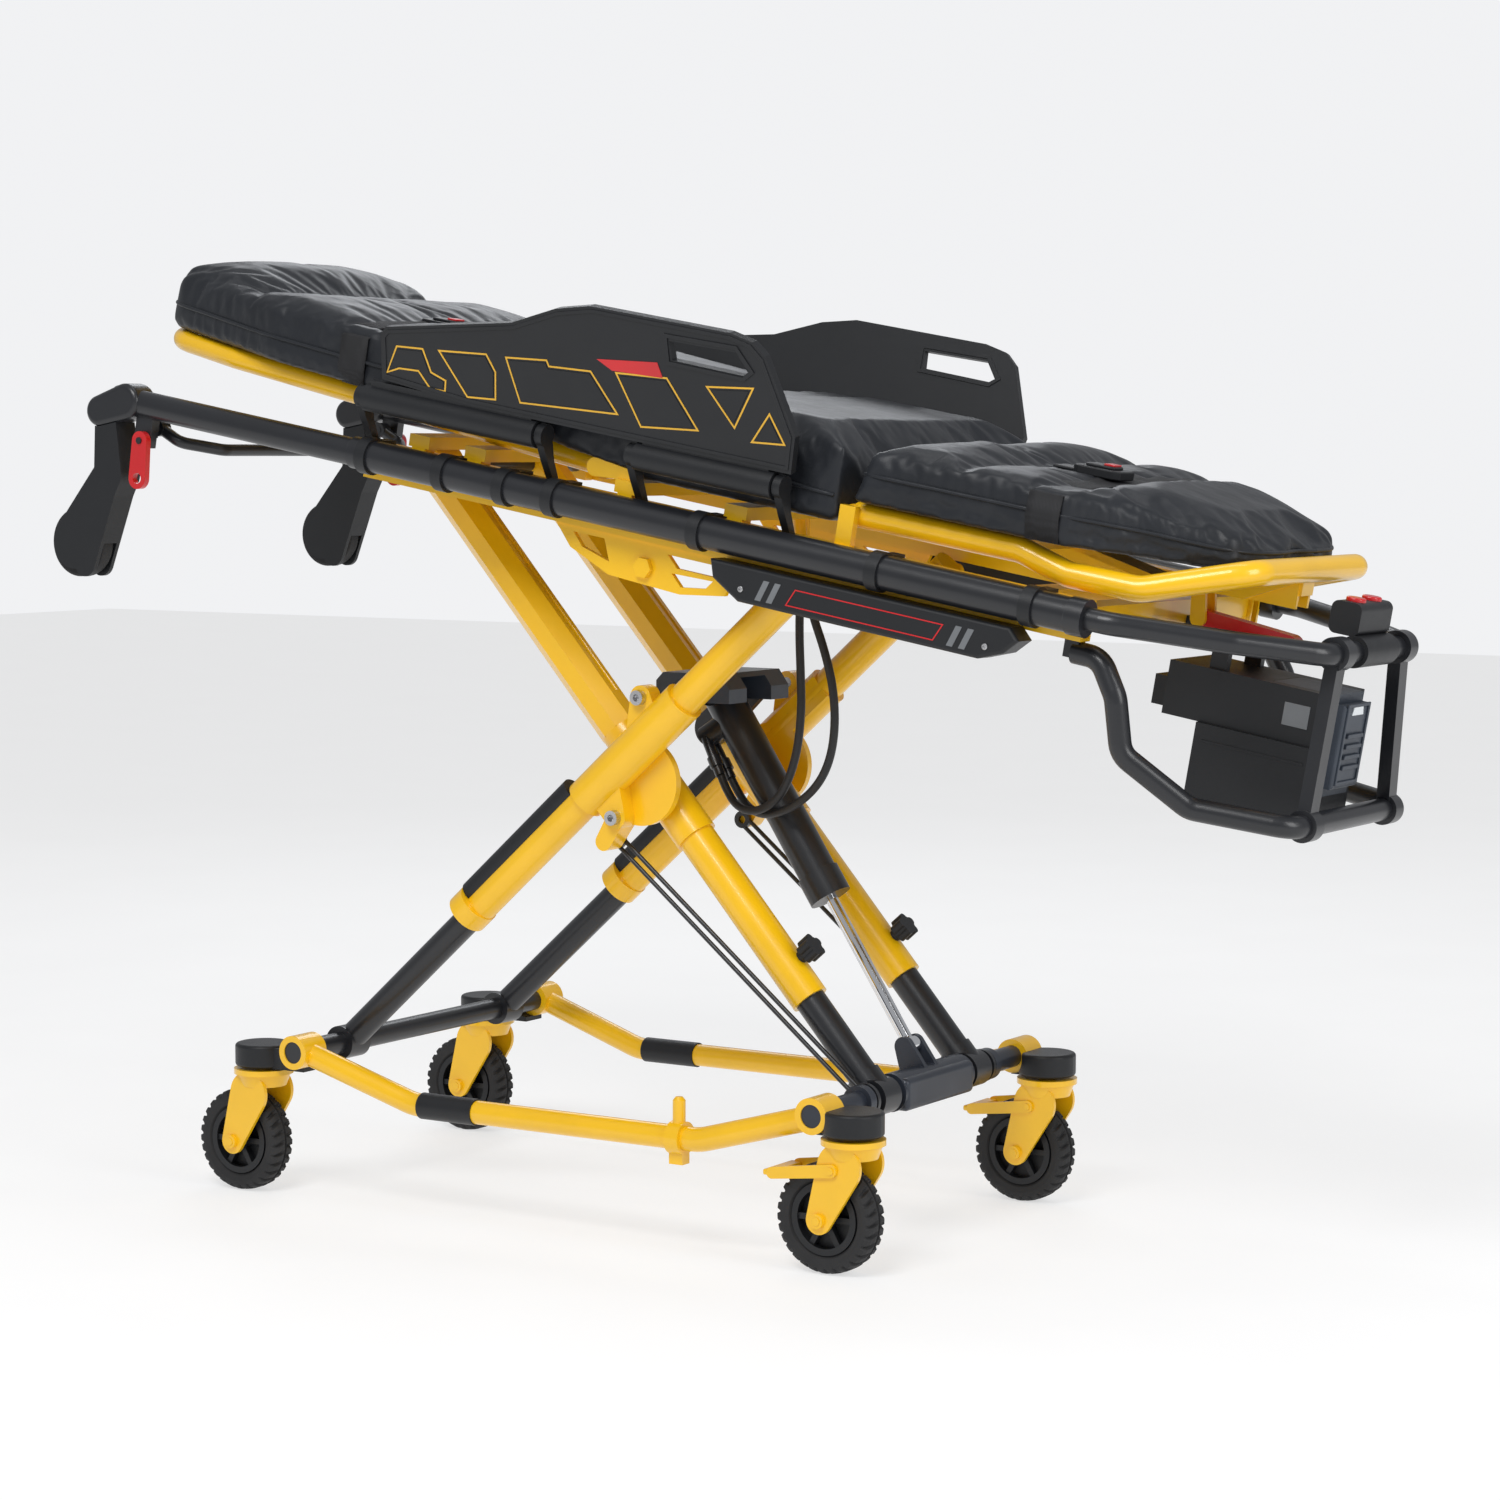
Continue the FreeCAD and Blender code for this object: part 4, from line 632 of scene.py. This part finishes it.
def strap_round(name, pad, u_top, u_low, body, w_mid, low):
    """Webbing band drawn down over a pad from side to side; low is the angle where its ends stop."""
    tree = BVHTree.FromPolygons([v.co for v in pad.data.vertices],
                                [tuple(p.vertices) for p in pad.data.polygons])
    rows = []
    for i in range(STRAP_STEPS + 1):
        angle = math.radians(low + (180 - 2 * low) * i / STRAP_STEPS)
        dy, dw = math.cos(angle), math.sin(angle)
        share = max(0.0, -dw)
        u = u_top + (u_low - u_top) * share
        row = []
        for k in (-1.0, -0.5, 0.0, 0.5, 1.0):
            centre = litter(u + k * STRAP_HALF, 0, w_mid)
            far = litter(u + k * STRAP_HALF, dy * 1000 * STRAP_SEARCH, w_mid + dw * 1000 * STRAP_SEARCH)
            way = (centre - far).normalized()
            hit = tree.ray_cast(far, way, 1.0)[0]
            row.append((hit if hit else centre - way * STRAP_DEPTH, -way))
        first, last = row[0][0], row[-1][0]
        lift = max((p - first).dot(row[0][1]) for p, _ in row)
        rows.append([p * (1 - STRAP_TAUTNESS) + (first + (last - first) * j / 4) * STRAP_TAUTNESS
                     + d * (STRAP_CLEAR + STRAP_LIFT * lift) for j, (p, d) in enumerate(row)])
    verts, faces = [], []
    for layer in (0.0, STRAP_THICK):
        for row in rows:
            out = (row[2] - litter(u_top, 0, w_mid)).normalized()
            verts += [p + out * layer for p in row]
    n = STRAP_POINTS
    count = (STRAP_STEPS + 1) * n
    for i in range(STRAP_STEPS):
        for k in range(n - 1):
            a = i * n + k
            faces.append([a, a + 1, a + n + 1, a + n])
            faces.append([count + a, count + a + n, count + a + n + 1, count + a + 1])
        for k in (0, n - 1):
            a = i * n + k
            faces.append([a, a + n, count + a + n, count + a])
    for i in (0, STRAP_STEPS):
        for k in range(n - 1):
            a = i * n + k
            faces.append([a, a + 1, count + a + 1, count + a])
    add_piece(name, verts, faces, "webbing", body, "vinyl")
    return tree


def buckle(name, tree, u, body):
    """Push-button buckle that lies on the pad: a moulded body, a frame and a red button."""
    top = tree.ray_cast(litter(u, BUCKLE_Y, ABOVE_PAD), litter(0, 0, -1) - litter(0, 0, 0), 1.0)[0]
    ground = to_litter(np.array([list(top)]))[0][2] if top else PAD_TOP

    def lay(x, depth, z):
        return litter(u + x, BUCKLE_Y + z, ground + depth)
    block = prism(BUCKLE_OUTLINE, lay, 1.0, 13.0)
    raised = prism([(x * BUCKLE_TOP, z * BUCKLE_TOP) for x, z in BUCKLE_OUTLINE], lay, 12.5, 17.0)
    tongue = prism([(-66, -20), (-32, -20), (-32, 20), (-66, 20)], lay, 2.0, 6.5)
    verts, faces = merge([block, raised, tongue])
    add_piece(name, verts, faces, "black_plastic", body, "black_plastic", smooth=False, bevel=0.002)
    button = prism([(4, -11), (20, -11), (20, 11), (4, 11)], lay, 16.5, 19.5)
    add_piece(name + "_button", *button, "red_plastic", body, "red_plastic", smooth=False, bevel=0.0012)


leg_tree = strap_round("thigh_strap", leg_pad, THIGH_STRAP_U, THIGH_STRAP_FOOT_U, "leg_section", 112, -58.0)
buckle("thigh_buckle", leg_tree, THIGH_BUCKLE_U, "leg_section")
back_tree = strap_round("chest_strap", back_pad, CHEST_STRAP_U, CHEST_STRAP_U, "backrest", 118, -20)
buckle("chest_buckle", back_tree, CHEST_STRAP_U, "backrest")
litter(HIP_U + 105, 0, 100)
litter(HIP_U - 75, 0, 100)
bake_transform(back_pad)

# ---------------------------------------------------------------- siderails
PANELS = [
    [(-208, 44), (-188, 88), (-140, 92), (-126, 60), (-100, 52), (-102, 34), (-130, 34), (-150, 56),
     (-184, 54)],
    [(-114, 94), (-28, 103), (-12, 79), (-13, 38), (-64, 33)],
    [(4, 104), (76, 112), (80, 104), (150, 109), (196, 54), (28, 41)],
    [(190, 114), (276, 121), (328, 55), (232, 43)],
    [(338, 120), (416, 131), (385, 68)],
    [(440, 101), (466, 60), (410, 54)],
]
ACCENT = [(160, 127), (260, 139), (269, 119), (186, 115)]
GRIP_EDGE = [(271, 181), (388, 183), (416, 151), (400, 137), (276, 139)]
RAIL_EDGE = [(-212, 38), (-60, 27), (470, 27), (475, 73), (429, 172), (410, 188), (376, 195), (152, 195),
             (94, 182), (18, 150), (-203, 108), (-212, 98)]
FACE = 6.0
LINE_WIDTH, EDGE_WIDTH = 2.4, 5.0


def siderail_trim(side, word):
    """Plain outlines, pads, a red accent and raised edges on one siderail's faces."""
    place = siderail(side)
    body = "siderail_" + word

    def dress(name, part, material, slot_name="black_plastic", bevel=0.0):
        add_piece(name + word, *part, material, body, slot_name, smooth=False, bevel=bevel)
    dress("panel_lines_", merge([outline_band(p, LINE_WIDTH, place, FACE - 0.4, FACE + 0.5) for p in PANELS]),
          "gold_line")
    dress("panel_pads_", merge([prism(inset(p, EDGE_WIDTH), place, FACE - 0.5, FACE + 1.1) for p in PANELS]),
          "black_plastic", bevel=0.0006)
    dress("siderail_accent_", prism(ACCENT, place, FACE - 0.4, FACE + 0.7), "red_plastic", "red_plastic")
    dress("siderail_edging_", outline_band(RAIL_EDGE, EDGE_WIDTH, place, FACE - 0.5, FACE + 1.3),
          "black_plastic", bevel=0.0005)
    rims = [outline_band(GRIP_EDGE, EDGE_WIDTH, place, FACE - 0.5, FACE + 1.6),
            outline_band(GRIP_EDGE, EDGE_WIDTH, place, -FACE - 1.6, -FACE + 0.5)]
    dress("grip_rim_", merge(rims), "black_plastic")


for side, word in SIDES:
    siderail_trim(side, word)

# ---------------------------------------------------------------- tyres
LUGS = 30
AROUND = LUGS * 6
PROFILE = [(-15, 50), (-20, 54), (-22, 62), (-21.5, 68), (-19, 72.5), (-14, 75), (-7, 76), (-2.2, 76),
           (-1.6, 73.6), (1.6, 73.6), (2.2, 76), (7, 76), (14, 75), (19, 72.5), (21.5, 68), (22, 62),
           (20, 54), (15, 50)]
GROOVE_DEPTH = {4: 4.5, 5: 5.0, 6: 4.0, 11: 4.0, 12: 5.0, 13: 4.5, 3: 2.0, 14: 2.0}


def tread(joint):
    """Treaded tyre whose shoulders carry slanting lugs."""
    corner = joint["name"].replace("roll_", "")
    low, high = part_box("tyre_" + corner)
    centre = (low + high) / 2
    axis = Vector(joint["axis"]).normalized()
    up = Vector((0, 0, 1))
    ahead = axis.cross(up).normalized()
    verts, faces = [], []
    rows = len(PROFILE)
    for i in range(AROUND):
        for k, (y, r) in enumerate(PROFILE):
            shift = 2 if k >= rows // 2 else 0
            slant = int(abs(y) / 9)
            if (i + shift + slant) % 6 in (0, 1):
                r = r - GROOVE_DEPTH.get(k, 0)
            a = 2 * math.pi * i / AROUND
            verts.append(centre + axis * (y / 1000) + (ahead * math.cos(a) + up * math.sin(a)) * (r / 1000))
    for i in range(AROUND):
        j = (i + 1) % AROUND
        for k in range(rows):
            m = (k + 1) % rows
            faces.append([i * rows + k, i * rows + m, j * rows + m, j * rows + k])
    tyre = add_piece("tread_" + corner, verts, faces, "tyre_rubber", "wheel_" + corner, "tyre_rubber",
                     smooth=False)
    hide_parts("tyre_" + corner)


for joint in frame["joints"]:
    if joint["name"].startswith("roll_"):
        tread(joint)

# ---------------------------------------------------------------- hoses
HOSE_R = 0.006
HOSE_ROUTES = {
    "hose_inner": [
        (351, -64, 960), (348, -64, 902), (346, -63, 846), (348, -62, 790), (349, -61, 734),
        (341, -60, 674), (322, -59, 626), (301, -61, 602), (272, -58, 589), (240, -48, 590),
        (212, -36, 606), (194, -30, 635)],
    "hose_outer": [
        (363, -84, 965), (368, -84, 920), (380, -83, 872), (398, -81, 825), (412, -79, 771),
        (414, -77, 715), (403, -74, 666), (377, -68, 628), (332, -56, 598), (284, -45, 583),
        (248, -30, 586), (218, -14, 602), (198, -8, 629)],
}


def hose(name, route):
    """Hose as a tube along the route's smooth line."""
    curve = bpy.data.curves.new(name + "_route", "CURVE")
    curve.dimensions = "3D"
    curve.resolution_u = 16
    spline = curve.splines.new("NURBS")
    points = [base_point(*p) for p in route]
    spline.points.add(len(points) - 1)
    for knot, p in zip(spline.points, points):
        knot.co = (*p, 1.0)
    spline.order_u = 3
    spline.use_endpoint_u = True
    guide = bpy.data.objects.new(name + "_route", curve)
    bpy.context.scene.collection.objects.link(guide)
    graph = bpy.context.evaluated_depsgraph_get()
    line = bpy.data.meshes.new_from_object(guide.evaluated_get(graph))
    path = [v.co.copy() for v in line.vertices]
    bpy.data.objects.remove(guide)
    verts, faces = tube_mesh(path, HOSE_R, sides=20)
    obj = add_piece(name + "_line", verts, faces, "hose_rubber", "litter", "hose_rubber")
    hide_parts(name)
    tuple(points[0])
    tuple(points[0])
    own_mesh(obj)


for hose_name, hose_route in HOSE_ROUTES.items():
    hose(hose_name, hose_route)


# ---------------------------------------------------------------- small trim
COVER_FACE, BATTERY_FACE = 312.0, 1190.0
HOUSING_LOWER_FACE, HOUSING_UPPER_FACE = 72.0, 66.0
SCREW_SPOTS = [(424, -62), (800, -62)]
SCREW_R, SCREW_SIDES = 4.2, 18


def on_face(side, distance):
    """Maps a point drawn on an upright face, at a distance from the middle, to its place on the litter."""
    def place(x, depth, z):
        return litter(x, side * (distance + depth), z)
    return place


def side_trim(side, word):
    """Plain slanted stripes on the side cover."""
    place = on_face(side, COVER_FACE)
    stripes = [prism([(x, -72), (x + 9, -72), (x + 19, -44), (x + 10, -44)], place, -0.4, 0.5)
               for x in (448, 466, 744, 762)]
    verts, faces = merge(stripes)
    add_piece("cover_stripes_" + word, verts, faces, "stripe_grey", "litter", "black_plastic", smooth=False)
    line = outline_band([(496, -70), (724, -70), (736, -46), (508, -46)], 1.6, place, -0.4, 0.6)
    add_piece("cover_line_" + word, *line, "red_plastic", "litter", "red_plastic", smooth=False)


for side, word in SIDES:
    side_trim(side, word)


def battery_face():
    """Latch window and finger ribs on the battery's outer face."""
    def place(y, depth, w):
        return litter(BATTERY_FACE + depth, y, w)
    window = prism([(-18, -86), (18, -86), (14, -74), (-14, -74)], place, -0.5, 1.5)
    add_piece("battery_window", *window, "pale_lens", "battery", "grey_plastic", smooth=False, bevel=0.0008)
    ribs = [prism([(-26, w), (26, w), (24, w + 6), (-24, w + 6)], place, -0.5, 4.0)
            for w in (-158, -144, -130, -116)]
    frame_line = outline_band([(-36, -178), (36, -178), (36, -70), (-36, -70)], 5.0, place, -0.5, 2.5)
    verts, faces = merge(ribs + [frame_line])
    add_piece("battery_latch", verts, faces, "grey_plastic", "battery", "grey_plastic", smooth=False,
              bevel=0.0012)


battery_face()


def screw(place, x, z):
    """Socket head screw: a domed ring round a six-sided well."""
    rings = [(1.0, 0.0, False), (1.0, 1.6, False), (0.82, 2.3, False), (0.5, 2.3, True), (0.46, 0.7, True)]
    n = SCREW_SIDES
    verts, faces = [], []
    for share, rise, six_sided in rings:
        for k in range(n):
            a = 2 * math.pi * k / n
            flat = math.cos(math.pi / 6) / math.cos((a % (math.pi / 3)) - math.pi / 6)
            reach = SCREW_R * share * (flat if six_sided else 1.0)
            verts.append(place(x + reach * math.cos(a), rise, z + reach * math.sin(a)))
    for i in range(len(rings) - 1):
        for k in range(n):
            m = (k + 1) % n
            faces.append([i * n + k, i * n + m, (i + 1) * n + m, (i + 1) * n + k])
    faces += [list(range(n))[::-1], list(range((len(rings) - 1) * n, len(rings) * n))]
    return verts, faces


def case_side(side, word):
    """A parting line round the lower block and a blank label plate on one side of the power housing."""
    lower, upper = on_face(side, HOUSING_LOWER_FACE), on_face(side, HOUSING_UPPER_FACE)
    line = prism([(1012, -156), (1158, -156), (1158, -153), (1012, -153)], lower, -0.5, 1.0)
    add_piece("case_line_" + word, *line, "black_plastic", "litter", "black_plastic", smooth=False,
              bevel=0.0003)
    plate = prism([(1116, -110), (1152, -110), (1152, -80), (1116, -80)], upper, -0.4, 0.8)
    add_piece("case_plate_" + word, *plate, "stripe_grey", "litter", "black_plastic", smooth=False,
              bevel=0.0005)


def cover_screws(side, word):
    """Two screws that hold the side cover."""
    verts, faces = merge([screw(on_face(side, COVER_FACE), x, z) for x, z in SCREW_SPOTS])
    add_piece("cover_screws_" + word, verts, faces, "bright_steel", "litter", "bright_steel", smooth=False)


for side, word in SIDES:
    case_side(side, word)
    cover_screws(side, word)

# ---------------------------------------------------------------- floor, light and camera
FLOOR_HALF = 14.0
FLOOR_GLOW = 0.6
WORLD_LIGHT = 0.42
LENS, SENSOR = 85.84, 36.0
TARGET = Vector((0.0451, 0.0, 0.6706))
AZIMUTH, ELEVATION, ROLL = math.radians(32.31), math.radians(4.83), math.radians(0.10)
DISTANCE = 5.147


def build_floor():
    """Plain pale floor."""
    mat, tree, shader = new_material("pale_floor")
    place = tree.nodes.new("ShaderNodeTexCoord").outputs["Object"]
    tone = add_ramp(tree, add_noise(tree, place, 3.0), [(0.2, grey(0.40)), (0.8, grey(0.43))])
    tree.links.new(tone, shader.inputs["Base Color"])
    shader.inputs["Roughness"].default_value = 0.8
    shader.inputs["Specular IOR Level"].default_value = 0.15
    shader.inputs["Emission Color"].default_value = (1, 1, 1, 1)
    shader.inputs["Emission Strength"].default_value = FLOOR_GLOW
    mesh = bpy.data.meshes.new("floor")
    size = FLOOR_HALF
    mesh.from_pydata([(-size, -size, 0), (size, -size, 0), (size, size, 0), (-size, size, 0)], [],
                     [(0, 1, 2, 3)])
    mesh.materials.append(mat)
    floor = bpy.data.objects.new("floor", mesh)
    bpy.context.scene.collection.objects.link(floor)


def soft_light(name, spot, aim, size, power, tint=(1, 1, 1)):
    data = bpy.data.lights.new(name, "AREA")
    data.shape = "RECTANGLE"
    data.size, data.size_y = size
    data.energy = power
    data.color = tint
    lamp = bpy.data.objects.new(name, data)
    lamp.location = spot
    lamp.rotation_euler = (Vector(aim) - Vector(spot)).to_track_quat("-Z", "Y").to_euler()
    bpy.context.scene.collection.objects.link(lamp)


def build_world():
    """Soft light from all round, and a paler backdrop where the camera looks straight at it."""
    world = bpy.data.worlds.new("studio")
    world.use_nodes = True
    back = world.node_tree.nodes["Background"]
    back.inputs["Color"].default_value = (0.95, 0.965, 1.0, 1)
    back.inputs["Strength"].default_value = WORLD_LIGHT
    seen = world.node_tree.nodes.new("ShaderNodeBackground")
    seen.inputs["Color"].default_value = (0.88, 0.885, 0.9, 1)
    rays = world.node_tree.nodes.new("ShaderNodeLightPath")
    mix = world.node_tree.nodes.new("ShaderNodeMixShader")
    links = world.node_tree.links
    links.new(rays.outputs["Is Camera Ray"], mix.inputs["Fac"])
    links.new(back.outputs["Background"], mix.inputs[1])
    links.new(seen.outputs["Background"], mix.inputs[2])
    links.new(mix.outputs["Shader"], world.node_tree.nodes["World Output"].inputs["Surface"])
    bpy.context.scene.world = world


def build_camera():
    """Camera that looks at the trolley from its foot end and right side."""
    data = bpy.data.cameras.new("camera")
    data.lens = LENS
    data.sensor_width = SENSOR
    camera = bpy.data.objects.new("camera", data)
    back = Vector((math.sin(AZIMUTH) * math.cos(ELEVATION), -math.cos(AZIMUTH) * math.cos(ELEVATION),
                   math.sin(ELEVATION)))
    camera.location = TARGET + back * DISTANCE
    turn = (-back).to_track_quat("-Z", "Y").to_matrix() @ Matrix.Rotation(ROLL, 3, "Z")
    camera.rotation_euler = turn.to_euler()
    bpy.context.scene.collection.objects.link(camera)
    bpy.context.scene.camera = camera


build_floor()
build_world()
soft_light("key", (0.6, -3.4, 4.2), (0.1, 0, 0.7), (2.2, 1.8), 120)
soft_light("foot_side", (4.2, -0.8, 2.2), (0.2, 0, 0.7), (1.6, 2.2), 55)
soft_light("rim", (-2.2, 3.4, 3.2), (0, 0, 0.9), (2.4, 1.0), 26, (0.93, 0.96, 1.0))
soft_light("overhead", (0.2, 0.6, 4.6), (0.1, 0, 1.1), (2.6, 0.7), 16)
build_camera()

bpy.context.scene.view_settings.view_transform = "Standard"
